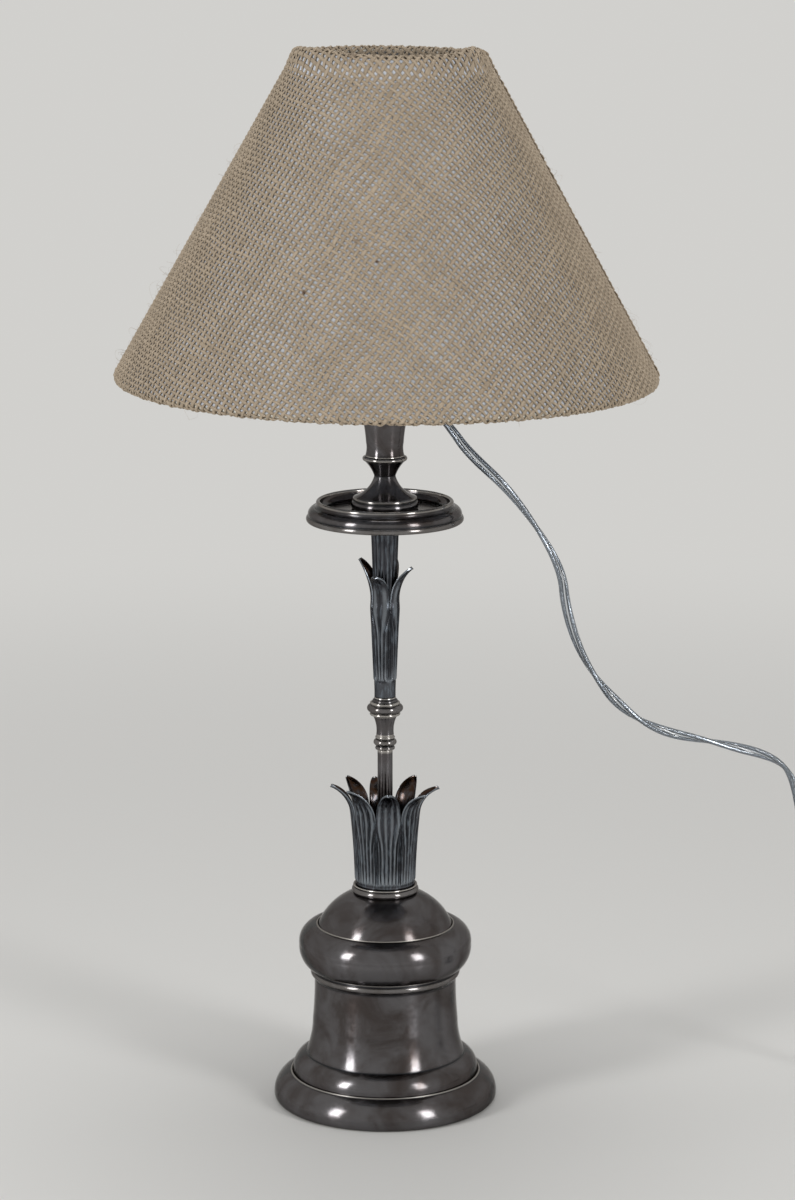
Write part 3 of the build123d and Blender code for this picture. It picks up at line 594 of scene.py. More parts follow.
MATERIALS = {
    "tarnished_silver_plate": lambda name: make_silver(name, 0),
    "chased_silver_plate": lambda name: make_silver(name, 0.55),
    "jute_yarn": make_jute,
    "cotton_lining": make_lining,
    "clear_vinyl": lambda name: make_clear(name, bpy.context.scene.lamp_flex.sheath, 0.09, 1.53),
    "blown_glass": lambda name: make_clear(name, linear("#F4F6F4"), 0.02, 1.5),
    "tinned_copper": make_tinned_wire,
    "golden_lacquered_brass": lambda name: make_plain(
        name, "#C9A35A", "#A67F3C", 0.012, Metallic=1.0, Roughness=0.28),
    "nickel_plated_brass": lambda name: make_plain(
        name, "#C2BEB4", "#A29C90", 0.01, Metallic=1.0, Roughness=0.2),
    "zinc_plated_steel": lambda name: make_plain(
        name, "#9FA2A4", "#7F8284", 0.006, Metallic=1.0, Roughness=0.36),
    "powder_coated_steel": lambda name: make_plain(
        name, "#E6E3DA", "#D6D2C6", 0.0015, Roughness=0.45, bump_m=0.00006),
    "cast_plaster": lambda name: make_plain(
        name, "#CFC9BB", "#B7B09F", 0.004, Roughness=0.9, bump_m=0.0003),
    "green_baize": lambda name: make_plain(
        name, "#2F5A3C", "#1F4229", 0.0012, Roughness=0.95, bump_m=0.0005),
    "natural_rubber": lambda name: make_plain(
        name, "#D8D2BF", "#C2BAA2", 0.006, Roughness=0.55),
    "black_phenolic": lambda name: make_plain(
        name, "#1D1A19", "#2A2523", 0.004, Roughness=0.3),
    "plug_vinyl": lambda name: make_plain(
        name, "#E7E7E1", "#DADAD2", 0.006, Roughness=0.34),
    "coated_filament": lambda name: make_plain(
        name, "#F2C65A", "#DDA93A", 0.002, Roughness=0.6),
    "tie_vinyl": lambda name: make_plain(
        name, "#F1F1EE", "#E2E2DD", 0.003, Roughness=0.5),
}


def finish(name):
    """The material of that name, made on its first use."""
    return bpy.data.materials.get(name) or MATERIALS[name](name)


# ---------------------------------------------------------------- turned pieces
def dish_tarnish_and_reflection(reach, height):
    """Brown in the drip tray's dish, for tarnish and a painted reflection of the shade: 1 from
    the nozzle's foot out to the rim.
    """
    underside = span("drip_tray")[2] - 7
    return smooth(reach, 18, 21) * (1 - smooth(reach, 31.5, 34)) * (height > underside)


def base_outlines():
    """Outlines of the foot, drum, shoulder, dome and collar, from their nodes' reach."""
    wall = 1.3
    r, low, high = span("foot_ring")
    foot = outline(
        (r - 4.4, low), (r - 1.8, low), ((r - 0.4, low + 1.4), (r, low + 3.7)),
        ((r - 2.4, low + 11.3), (r - 9.3, high - 0.5)),
        ((r - 9.9, high + 0.05), (r - 10.4, high - 0.5)), (r - 10.4, high - 1.6),
        ((r - 3.7, low + 10.3), (r - wall, low + 3.7)),
        ((r - 1.9, low + 2.2), (r - 4.4, low + 1.8)))
    r, low, high = span("drum_shell")
    drum = outline(
        (r - 1.6, low), (r, low), (r, low + 3.2), ((r - 1.9, low + 8.8), (r - 7.4, low + 12.4)),
        ((r - 9.4, low + 18.6), (r - 11.1, low + 31.6)),
        ((r - 11.9, low + 42.6), (r - 12.2, high - 6.8)), (r - 11.3, high - 5.4),
        ((r - 10.0, high - 3.3), (r - 11.0, high - 1.8)), (r - 11.0, high), (r - 13.0, high),
        (r - 13.0, high - 4.2), (r - 13.5, high - 6.8),
        ((r - 13.2, low + 42.6), (r - 12.4, low + 31.6)),
        ((r - 10.7, low + 18.6), (r - 8.7, low + 11.4)),
        ((r - 3.3, low + 8.0), (r - 1.6, low + 2.8)))
    r, low, high = span("shoulder_ring")
    inner = span("dome_cap")[0] + 0.2
    shoulder = outline(
        (r - 9.3, low), (r - 5.0, low), ((r - 1.3, low + 4.95), (r, low + 12.55)),
        ((r - 2.4, low + 20.45), (inner + 0.55, high - 0.45)),
        ((inner + 0.3, high), (inner, high - 0.3)), (inner, high - 1.3),
        ((r - 3.5, high - 4.9), (r - wall, low + 12.55)),
        ((r - 2.4, low + 5.8), (r - 5.5, low + wall)), (r - 9.3, low + wall))
    r, low, high = span("dome_cap")
    dome = outline(
        (r - wall, low), (r, low), (r, low + 1.4), ((r - 6.9, low + 11.6), (r - 19.6, high)),
        (BORE, high), (BORE, high - wall), (r - 20.0, high - wall),
        ((r - 7.8, high - 9.0), (r - wall, low + 1.2)))
    r, low, high = span("leaf_collar")
    collar = outline(
        (BORE, low), (r - 1.6, low), ((r, low + 2.1), (r - 1.5, high - 1.1)),
        (r - 1.25, high - 0.9), ((r - 0.75, high - 0.45), (r - 1.25, high)), (BORE, high))
    return {"foot_ring": foot, "drum_shell": drum, "shoulder_ring": shoulder, "dome_cap": dome,
            "leaf_collar": collar}


def column_outlines():
    """Outlines of the stem, knops, neck, drip tray and candle nozzle."""
    screw_hole = 4.0
    r, low, high = span("lower_stem")
    stem = outline((BORE, low), (r, low), (r, high), (BORE, high))
    r, low, high = span("lower_knop")
    lower = outline(
        (BORE, low), (r - 1.3, low), ((r - 0.95, low + 0.9), (r - 1.35, low + 1.8)),
        (r - 1.6, low + 2.4), ((r, low + 4.4), (r - 1.6, low + 6.0)), (r - 1.55, low + 6.3),
        ((r - 0.95, low + 6.95), (r - 1.5, low + 7.6)), (r - 1.5, high), (BORE, high))
    r, low, high = span("neck_spool")
    neck = outline((BORE, low), (r - 1.95, low), ((r - 1.7, low + 6.8), (r, high)), (BORE, high))
    r, low, high = span("upper_knop")
    upper = outline(
        (BORE, low), (r - 2.3, low), ((r - 1.5, low + 0.85), (r - 2.3, low + 1.7)),
        (r - 2.1, low + 2.0), ((r, low + 4.3), (r - 2.1, low + 6.2)),
        ((r - 1.65, low + 7.0), (r - 2.9, low + 7.7)),
        ((r - 3.1, low + 8.7), (r - 3.9, low + 9.5)),
        (r - 4.1, high), (BORE, high))
    r, low, high = span("drip_tray")
    tray = outline(
        (BORE, high - 6.0), (r - 12.2, high - 6.0), (r - 8.2, high - 2.9), (r - 6.4, high - 5.2),
        ((r - 4.0, high - 8.5), (r - 2.2, high - 11.4)), (r - 1.2, high - 11.9),
        ((r, high - 10.2), (r - 1.1, high - 8.5)), ((r - 1.6, high - 5.6), (r - 4.6, high - 3.7)),
        ((r - 5.5, high - 2.9), (r - 5.6, high - 1.7)), ((r - 6.7, high), (r - 7.9, high - 0.6)),
        ((r - 9.4, high - 3.8), (r - 12.4, high - 4.8)), (BORE, high - 4.8))
    r, low, high = span("nozzle_foot")
    foot = outline(
        (BORE, low), (r - 0.7, low), ((r, low + 2.5), (r - 0.8, low + 4.6)), (r - 1.1, low + 4.9),
        ((r - 0.9, low + 5.9), (r - 2.0, low + 6.8)),
        ((r - 9.4, low + 11.8), (r - 12.75, low + 18.2)),
        ((r - 11.2, low + 21.7), (r - 8.0, low + 26.0)), (r - 7.4, low + 26.6),
        ((r - 6.25, low + 28.0), (r - 7.5, high)), (screw_hole, high),
        (screw_hole, high - 6.0), (BORE, high - 6.0))
    r, low, high = span("candle_nozzle")
    nozzle = outline(
        (screw_hole, low), (r - 2.4, low), ((r - 3.0, low + 2.4), (r - 2.9, low + 7.4)),
        ((r - 2.1, low + 15.0), (r - 0.8, low + 22.0)), ((r + 0.05, low + 23.2), (r - 0.3, high)),
        (r - 2.9, high), (r - 3.8, low + 2.2), (screw_hole, low + 2.2))
    return {"lower_stem": stem, "lower_knop": lower, "neck_spool": neck, "upper_knop": upper,
            "drip_tray": tray, "nozzle_foot": foot, "candle_nozzle": nozzle}


# ---------------------------------------------------------------- leaves
def even_profile(points, rows, crowd):
    """rows points along a polyline whose kinks are averaged away over some 8 mm, closer
    together towards its end by the power crowd, with the unit normals on its right-hand
    side."""
    step, reach = 0.2, 20
    length = travelled(points)
    even = np.arange(0, length[-1], step)
    line = np.stack([np.interp(even, length, points[:, k]) for k in (0, 1)], -1)
    line = np.pad(line, ((reach, reach), (0, 0)), mode="reflect", reflect_type="odd")
    line = np.stack([np.convolve(line[:, k], averaging(reach), "valid") for k in (0, 1)], -1)
    place = even[-1] * (1 - (1 - np.linspace(0, 1, rows)) ** crowd)
    spots = np.stack([np.interp(place, even, line[:, k]) for k in (0, 1)], -1)
    tangent = np.gradient(spots, place, axis=0)
    tangent /= np.linalg.norm(tangent, axis=1)[:, None]
    return spots, np.stack([tangent[:, 1], -tangent[:, 0]], -1)


def chased_relief(x, half, seam, z, e, notch, sepal, reeds, reed_foot):
    """Relief on a leaf's outside as a share of its full height, and the line round the reeds'
    feet. Each reed is 1 - (d/h)^2 high at a distance d from its middle, h being half their
    spacing, and has a round lower end. Over each seam lies a narrow sepal: a ridge at the
    distance sepal from its middle line, with fine ribs inside."""
    rib_step, least_room = 1.25, 0.15
    sepal_half = sepal * (1 - smooth(z, notch - 15, notch + 1.5)) + 0.02
    cap = np.maximum(0, reed_foot + sepal - z)
    from_sepal = np.hypot(seam, cap) / sepal_half
    ridge = bell(from_sepal, 1.0, 0.26)
    inside_sepal = 1 - smooth(from_sepal, 0.65, 0.95)
    ribs = 0.5 + 0.5 * np.cos(2 * math.pi * seam / rib_step)
    room = np.maximum(half - 1.42 * sepal_half * (e < 1), least_room)
    phase = (x / room + 1) / 2 * reeds
    spacing = room / reeds
    from_reed = np.hypot((phase % 1 - 0.5) * 2 * spacing, np.maximum(0, reed_foot + 1 - z))
    reed = np.clip(1 - (from_reed / spacing) ** 2, -0.35, 1) * (np.abs(x) < room)
    height = reed * (from_sepal > 1.2) + 0.95 * ridge - inside_sepal * (0.10 - 0.62 * ribs) - 0.35
    foot_line = bell(np.minimum(from_reed / spacing, 2), 1.0, 0.3)
    return height, foot_line * smooth(z, reed_foot + 5, reed_foot) * (z > reed_foot - 1.5)


def leaf_cup(profile, front, notch, tips, sepal, reeds, reed_foot, across, rows):
    """Points, faces and marks of a cup of leaves, each a closed thin shell around a rounded
    loop with chased relief on its outside.

    A leaf runs up the outer profile. Its half width is that of its share of the round up to
    the notch, and past it w (1 - e^2.2)^0.75, with e the share of the height from notch to
    tip. Its edges thin to a round rim with a bead beside it, and curl towards the stem.
    tips holds, for each leaf from the front towards +X, its turn in degrees and its rise."""
    look = bpy.context.scene.lamp_leaves
    rim_width = 0.55
    inside_points = 15
    count = len(tips)
    spots, normal = even_profile(profile, rows, crowd=1.35)
    tip = spots[-1, 1]
    e = np.clip((spots[:, 1] - notch) / (tip - notch), 0, 1)[:, None]
    r, z = spots[:, 0][:, None], spots[:, 1][:, None]
    share = math.pi * r / count
    half = (share - 0.02) * (1 - (0.993 * e) ** 2.2) ** 0.75
    side = np.concatenate([np.linspace(-1, 1, across), np.linspace(1, -1, inside_points)])[None, :]
    outside = (np.arange(side.shape[1]) < across)[None, :]
    x = side * half

    free_edge = smooth(e, 0.0, 0.05)
    rim = np.clip(1 - (half - np.abs(x)) / rim_width, 0, 1)
    thin = look.wall * (1 - 0.55 * e ** 3) * (1 - free_edge * (1 - np.sqrt(1 - 0.98 * rim ** 2)))
    bead = 0.22 * free_edge * bell(half - np.abs(x), rim_width, 0.4)

    height, foot_line = chased_relief(
        x, half, share - np.abs(x), z, e, notch, sepal, reeds, reed_foot)
    fade = smooth(z, reed_foot - 1.2, reed_foot + 0.8) * (1 - 0.85 * smooth(e, 0.45, 0.95))
    height = height * look.relief * fade * outside
    recess = np.clip(0.22 - height / look.relief, 0, 1) * fade * outside * 1.1
    wear = np.clip(height / look.relief * 1.6 - 0.35, 0, 1) * outside
    wear = np.maximum(wear, free_edge * bell(half - np.abs(x), 0.15, 0.3) * 0.85)
    wear = np.maximum(wear, 0.9 * foot_line * outside)
    handled = smooth(z, reed_foot + 16, reed_foot + 1) * np.clip(0.4 + height / look.relief, 0, 1)
    wear = np.maximum(wear, 0.95 * handled * outside)
    # brown inside the leaves and towards their tips: tarnish, and a painted reflection of the
    # shade
    tarnish_and_reflection = (~outside) * (0.45 + 0.4 * e) + 0.3 * outside * smooth(e, 0.6, 1)

    spoon = look.spoon * e * side ** 2
    trim = (look.wall - thin) / 2
    offset = np.where(outside, height + bead - trim, trim - look.wall) - spoon
    leaf = np.arange(count)[:, None, None]
    turn = np.array([t[0] for t in tips])[leaf]
    rise = np.array([t[1] for t in tips])[leaf]
    radius = r + normal[:, :1] * offset
    level = z + normal[:, 1:] * offset + rise * e ** 2
    angle = np.radians(front + 360 * leaf / count + turn * e ** 2) + x / r
    points = about_axis(radius, angle, level)

    loop = side.shape[1]
    starts = (np.arange(count) * rows * loop)[:, None, None]
    faces = [(group + starts).reshape(-1, group.shape[1]) for group in capped(rows, loop)]
    marks = {
        mark: np.broadcast_to(value, (count, rows, loop)).ravel()
        for mark, value in (("recess", recess), ("wear", wear), ("tarnish_and_reflection", tarnish_and_reflection))}
    return points.reshape(-1, 3), faces, marks


def with_floor(cup, shape):
    """Adds a turned floor to a cup's points, faces and marks."""
    points, faces, marks = cup
    # the cup's floor takes the same brown: tarnish, and a painted reflection of the shade
    tarnish = 0.8
    floor, quads, floor_marks, _ = turned_surface(shape, segments=96)
    floor_marks["tarnish_and_reflection"] = np.full(len(floor), tarnish)
    marks = {mark: np.concatenate([marks[mark], floor_marks[mark]]) for mark in marks}
    return np.concatenate([points, floor]), [*faces, quads + len(points)], marks


def lower_leaf_cup():
    """Cup of eight outcurved leaves on the collar."""
    _, low, _ = span("lower_leaf_cup")
    foot = 16.6
    profile = outline(
        (foot, low), ((foot + 0.8, low + 20.7), (foot + 2.5, low + 40.7)),
        ((foot + 6.6, low + 51.3), (foot + 14.3, low + 57.2)))
    tips = ((-2.6, -0.2), (-4.5, -2.6), (2.0, -4.2), (4.3, -3.0), (5.4, -5.0), (-5.1, -2.2),
            (0.0, -0.9), (-5.1, 0.2))
    leaves = leaf_cup(profile, front=6.5, notch=low + 37.7, tips=tips, sepal=1.55, reeds=4,
                      reed_foot=low + 2.4, across=61, rows=84)
    return with_floor(leaves, outline(
        (BORE, low), (foot - 0.9, low), (foot - 0.9, low + 1.4), (BORE, low + 1.4)))


def upper_leaf_cup():
    """Slim calyx of four leaves that the reeded stem rises out of."""
    _, low, _ = span("upper_leaf_cup")
    foot = 5.9
    profile = outline(
        (foot, low), (foot - 0.05, low + 3.6),
        ((foot + 0.8, low + 25.6), (foot + 2.0, low + 51.1)),
        ((foot + 3.7, low + 65.1), (foot + 10.6, low + 75.0)))
    tips = ((0.0, -5.5), (6.0, -2.0), (0.0, 0.0), (-4.0, 1.0))
    leaves = leaf_cup(profile, front=-22, notch=low + 50.1, tips=tips, sepal=2.3, reeds=2,
                      reed_foot=low + 9.6, across=71, rows=110)
    return with_floor(leaves, outline(
        (BORE, low), (foot - 0.7, low), (foot - 0.8, low + 3.6), (BORE, low + 3.6)))


def reeded_stem():
    """Upper stem between calyx and tray: radius R(z) + h (1 - (2t)^2) over each reed, t from
    -0.5 to 0.5 across it, alternate reeds lower, and pointed leaf ends under the tray."""
    look = bpy.context.scene.lamp_leaves
    r, low, high = span("fluted_stem")
    top = high - 7.7
    shape = outline(
        (4.7, low), ((r - 2.1, low + 26), (r - 1.4, low + 50)), ((r - 0.8, low + 72), (r, top)),
        (r - 0.8, high - 6.2), (r - 0.8, high))
    spots, _ = even_profile(shape, rows=110, crowd=1.0)
    per_reed = 9
    around = look.reeds * per_reed
    index = np.arange(around)
    across = (index % per_reed) / per_reed - 0.5
    odd = (index // per_reed) % 2
    angle = 2 * math.pi * index / around
    crown = 1 - (2 * across) ** 2
    z = spots[:, 1][:, None]
    leaf_end = smooth(z, top - 7.0, top - 0.5) * (1 - np.abs(2 * across)) * odd
    depth = look.relief * (0.95 - 0.35 * odd) * (crown - 0.6) - 0.7 * leaf_end * look.relief
    depth = depth * smooth(z, low, low + 3) * (1 - smooth(z, top, top + 1.5))
    radius = spots[:, 0][:, None] + depth
    points = about_axis(radius, angle, z)
    recess = np.clip(1.1 - 1.5 * crown + 0.9 * leaf_end, 0, 1) + 0 * z
    wear = np.clip(1.8 * crown - 1.25, 0, 1) * 0.75 + 0 * z
    marks = {"recess": recess, "wear": wear, "tarnish_and_reflection": 0 * recess}
    return points.reshape(-1, 3), capped(len(spots), around), marks


# ---------------------------------------------------------------- shade
GIMBAL_HEIGHT = 440.0
SHADE_TILT = 0.5              # degrees that the front hangs low
SHADE_LEAN = 0.5              # degrees that the top leans towards +X
SHADE_SHIFT = 1.2             # how far the shade has slid along the gimbal pins
SHADE_LOW = 409.6             # outer edge of the cover while it is upright
SHADE_HIGH = 586.4
SHADE_LOW_RADIUS = 150.0
SHADE_HIGH_RADIUS = 51.3
WIRE_HEIGHT = 2.6             # of each wire's middle from the cover's edge
WIRE_DEPTH = 2.65             # of each wire's middle under the cover's outside
CLOTH_DEPTH = 0.5             # of the weave's middle under the cover's outside
LINING_LOW = 3.4              # of the lining's edge over the cover's
LINING_HIGH = 2.2
CLOTH_TURN = 53.7             # degrees from the flat cut's X axis to the warp yarns
CLOTH_SPAN = 760.0            # side of the square that holds the flat cut
STATIONS = 3                  # places along a yarn from one crossing to the next
SEAM_TURN = 97.0              # azimuth of the lapped seam from the front towards +X
SEAM_LAP = 4.0                # degrees of lap
SLOPE = math.atan2(SHADE_LOW_RADIUS - SHADE_HIGH_RADIUS, SHADE_HIGH - SHADE_LOW)
# azimuth, and how far the folded cloth stands above its place on the top wire
TOP_FOLD = ((-200, 0), (-115, 0.2), (-92, 1.6), (-75, 3.6), (-55, 4.6), (-40, 4.2), (-24, 2.9),
            (0, 2.3), (30, 2.3), (43, 2.6), (50, 4.6), (62, 5.4), (71, 4.0), (80, 1.6), (95, 0.4),
            (130, 0))


def cone_radius(height):
    """Radius of the upright cover's outside at a height."""
    share = (height - SHADE_LOW) / (SHADE_HIGH - SHADE_LOW)
    return SHADE_LOW_RADIUS + share * (SHADE_HIGH_RADIUS - SHADE_LOW_RADIUS)


def hung(points):
    """Places the upright shade's points as it hangs: turned by its lean about Y and then its
    tilt about X, both through the gimbal pins' height, and slid along the pins."""
    tilt, lean = math.radians(SHADE_TILT), math.radians(SHADE_LEAN)
    x, y, z = points[..., 0], points[..., 1], points[..., 2] - GIMBAL_HEIGHT
    x, z = x * math.cos(lean) + z * math.sin(lean), z * math.cos(lean) - x * math.sin(lean)
    y, z = y * math.cos(tilt) - z * math.sin(tilt), y * math.sin(tilt) + z * math.cos(tilt)
    return np.stack([x + SHADE_SHIFT, y, z + GIMBAL_HEIGHT], -1)


def cover_track():
    """The cover's middle line in the radius and height plane, from the hem folded in at the
    top, half round the top wire, down the cone, half round the bottom wire and up inside.
    Returns distance from the top wire, radius, height and outward normal, and the length of
    the cone."""
    jute = bpy.context.scene.lamp_jute
    out = np.array([math.cos(SLOPE), math.sin(SLOPE)])
    down = np.array([math.sin(SLOPE), -math.cos(SLOPE)])
    fold = WIRE_DEPTH - CLOTH_DEPTH
    middles = []
    for height in (SHADE_HIGH - WIRE_HEIGHT, SHADE_LOW + WIRE_HEIGHT):
        middles.append(np.array([cone_radius(height) - WIRE_DEPTH / math.cos(SLOPE), height]))
    high, low = middles
    length = math.dist(high, low)
    turn = np.linspace(0, math.pi, 13)[1:, None]
    round_low = out * np.cos(turn) + down * np.sin(turn)
    round_high = (out * np.cos(turn) - down * np.sin(turn))[::-1]
    hem = jute.hem
    spots = np.concatenate([
        [high - out * fold + down * hem], high + round_high * fold, [high + out * fold],
        [low + out * fold], low + round_low * fold, [low - out * fold - down * hem]])
    normal = np.concatenate([[-out], round_high, [out], [out], round_low, [-out]])
    start = -(hem + math.pi * fold)
    return start + travelled(spots), spots, normal, length


def fold_rise(degrees, along):
    """How far the cloth stands up at the top: the fold's height there, fading down the cone
    and down the hem inside."""
    puffed = (degrees + 200) % 360 - 200
    return np.interp(puffed, *np.array(TOP_FOLD).T) * smooth(along, 9, 1) * smooth(along, -15, -7)


def cover_points(x, y, lift):
    """Places flat cloth on the cover. The flat cut is a part of a ring whose middle is the
    cone's point: distance from it, less the top wire's, is distance along the track, and its
    angle over the sine of the slope is the azimuth. lift is height off the middle line."""
    lap_lift, ripple_height = 1.2, 0.16
    distance, spots, normal, length = cover_track()
    top_reach = np.interp(0, distance, spots[:, 0]) / math.sin(SLOPE)
    along = np.hypot(x, y) - top_reach
    azimuth = np.arctan2(x, -y) / math.sin(SLOPE)
    r, z, nr, nz = (np.interp(along, distance, column) for column in (*spots.T, *normal.T))
    degrees = np.degrees(azimuth)
    lap = smooth(degrees, SEAM_TURN - 360 + 2.0, SEAM_TURN - 360 - 1.0)
    lift = lift + lap_lift * lap
    rise = fold_rise(degrees, along)
    edge = smooth(along, 4, -1) + smooth(along, length - 4, length + 1)
    ripple = np.sin(azimuth * 61) + np.sin(azimuth * 97 + 1) + np.sin(azimuth * 149 + 2)
    rise = rise + ripple_height * ripple * edge
    r = r + nr * lift
    z = z + nz * lift + rise
    return hung(about_axis(r, azimuth, z)), along, degrees


def yarns(rng, word):
    """Every yarn of one direction of the plain weave. Warp yarn i and weft yarn j cross with
    the warp on top where i + j is even, so the warp's height is crimp cos(pi (i + along /
    weft spacing)) and the weft's is the same the other way up. A yarn is a flattened
    five-sided tube with slubs, its spacing wanders a little, and the whole cloth is drawn
    tight and loose in patches."""
    jute = bpy.context.scene.lamp_jute
    turn = math.radians(CLOTH_TURN)
    warp_way = np.array([math.cos(turn), math.sin(turn)])
    weft_way = np.array([math.sin(turn), -math.cos(turn)])
    if word == "warp":
        spacing, other, width, along_way, across_way, side = (
            jute.warp_spacing, jute.weft_spacing, jute.warp_width, warp_way, weft_way, -1)
    else:
        spacing, other, width, along_way, across_way, side = (
            jute.weft_spacing, jute.warp_spacing, jute.weft_width, weft_way, warp_way, 1)
    clear_edge = 16
    reach = CLOTH_SPAN / 2 - clear_edge
    lines = np.arange(-int(reach / spacing), int(reach / spacing) + 1)
    steps = np.arange(-int(reach / other) * STATIONS, int(reach / other) * STATIONS + 1)
    along = steps * other / STATIONS
    count = len(lines)
    # places wander by tenths of a millimetre, and widths by tenths of themselves
    across = lines[:, None] * spacing + 0.16 * wander(rng, count, along, 30)
    across = across + 0.10 * wander(rng, count, along, 8)
    slub = np.maximum(0, wander(rng, count, along, 8) - 0.6) * 1.3
    width = width * (1 + 0.10 * wander(rng, count, along, 11)
                     + 0.10 * rng.uniform(-1, 1, (count, 1)) + slub)
    thick = jute.thickness * (1 + 0.08 * wander(rng, count, along, 9) + 0.3 * slub)
    tone = 0.3 + 0.08 * rng.uniform(-1, 1, (count, 1)) + 0.16 * wander(rng, count, along, 14)
    wave = -side * jute.crimp * np.cos(math.pi * (lines[:, None] + along / other))

    # the cloth is drawn tight and loose in patches, and pulled askew by half a millimetre
    a = along + 0 * across
    x = a * along_way[0] + across * across_way[0]
    y = a * along_way[1] + across * across_way[1]
    tight = 0.5 + 0.5 * np.sin(x / 17 + 1.9 * np.sin(y / 23)) * np.cos(y / 19 + 0.6)
    edge_on = smooth(np.abs(np.degrees(np.arctan2(x, -y)) / math.sin(SLOPE)), 30, 80)
    width = width * (0.94 + 0.14 * tight + 0.10 * edge_on)
    x, y = (x + 0.45 * np.sin(x / 7.5 + y / 16) + 0.25 * np.sin(y / 4.1 + 2),
            y + 0.45 * np.sin(y / 8.7 - x / 13 + 1) + 0.25 * np.sin(x / 4.7))

    ring = np.radians([54, 126, 198, 270, 342])
    sideways = side * np.cos(ring) * width[..., None] / 2 * 1.04
    lift = np.sin(ring) * thick[..., None] / 2 + wave[..., None]
    points, track, azimuth = cover_points(
        x[..., None] + across_way[0] * sideways, y[..., None] + across_way[1] * sideways, lift)
    distance = cover_track()[0]
    track, azimuth = track.mean(2), azimuth[..., 0]
    kept = (track > distance[0]) & (track < distance[-1])
    kept &= (azimuth > SEAM_TURN - 360 - SEAM_LAP) & (azimuth < SEAM_TURN)
    return points, kept, tone, azimuth, track, along, lines * spacing


def speck_marks(azimuth, track, spots):
    """1 at each fault of the cloth, falling off as a bell of its own size."""
    marks = 0 * azimuth
    for turn, place, size, strength in spots:
        sideways = np.radians(azimuth - turn) * (SHADE_HIGH_RADIUS + place * math.sin(SLOPE))
        marks = np.maximum(marks, strength * bell(np.hypot(sideways, track - place), 0, size))
    return marks


CLOTH_FAULTS = (              # azimuth, distance from the top wire, size, strength
    (-23.0, -1.0, 2.6, 0.45), (-2.7, 111.0, 0.85, 1.7), (-21.8, 129.8, 1.0, 1.7),
    (-9.0, 100.0, 1.2, 0.5), (38.0, 88.0, 1.1, 0.5), (24.0, 61.0, 1.3, 0.4),
    (150.0, 90.0, 1.6, 0.7), (-110.0, 140.0, 1.5, 0.6), (-160.0, 60.0, 1.3, 0.6),
)


def weave_pieces():
    """The jute cover as real yarns: two directions, each cut into thirds by azimuth so that
    no piece has too many faces."""
    jute = bpy.context.scene.lamp_jute
    thirds = ((-280, -152), (-152, -34), (-34, 100))
    pieces = []
    for number, word in enumerate(("warp", "weft")):
        rng = np.random.default_rng(jute.seed + number)
        points, kept, tone, azimuth, track, along, across = yarns(rng, word)
        _, stations, sides = points.shape[:3]
        speck = speck_marks(azimuth, track, CLOTH_FAULTS)
        corner_side = np.arange(sides)[:, None] + np.array([0, 1, 1, 0])
        for part, (start, end) in enumerate(thirds):
            mine = (azimuth > start) & (azimuth <= end)
            stretch = kept[:, :-1] & kept[:, 1:] & mine[:, :-1]
            line, station = np.nonzero(stretch)
            near = (line * stations + station)[:, None, None] * sides
            quads = near + corner_side % sides + np.array([0, 0, sides, sides])
            uv = np.stack([
                along[station[:, None, None] + np.array([0, 0, 1, 1]) + 0 * corner_side],
                across[line][:, None, None] + 2.5 * (corner_side / sides - 0.5)], -1)
            faces, maps = [quads.reshape(-1, 4)], [uv.reshape(-1, 2)]
            before = np.pad(stretch, ((0, 0), (1, 0)))
            after = np.pad(stretch, ((0, 0), (0, 1)))
            for ends, order in ((after & ~before, -1), (before & ~after, 1)):
                line, station = np.nonzero(ends)
                side = np.arange(sides)[::order]
                faces.append((line * stations + station)[:, None] * sides + side)
                turn = 2 * math.pi * side / sides
                maps.append(np.stack([
                    along[station][:, None] + 0.4 * order + 0.25 * np.cos(turn),
                    across[line][:, None] + 0.25 * np.sin(turn)], -1).reshape(-1, 2))
            used, faces = compact(faces)
            marks = {"tone": np.repeat(tone.ravel(), sides)[used],
                     "speck": np.repeat(speck.ravel(), sides)[used]}
            pieces.append(make_piece(
                f"jute_{word}_{part + 1}", points.reshape(-1, 3)[used], faces, "jute_yarn",
                "shade", marks, (BAKE_MAP, np.concatenate(maps) / CLOTH_SPAN + 0.5),
                ("shade_fabric",)))
    return pieces


def compact(faces):
    """Indices of the points that faces use, and the faces renumbered to them."""
    corners = np.concatenate([group.ravel() for group in faces])
    used, numbers = np.unique(corners, return_inverse=True)
    groups, start = [], 0
    for group in faces:
        groups.append(numbers[start:start + group.size].reshape(group.shape))
        start += group.size
    return used, groups


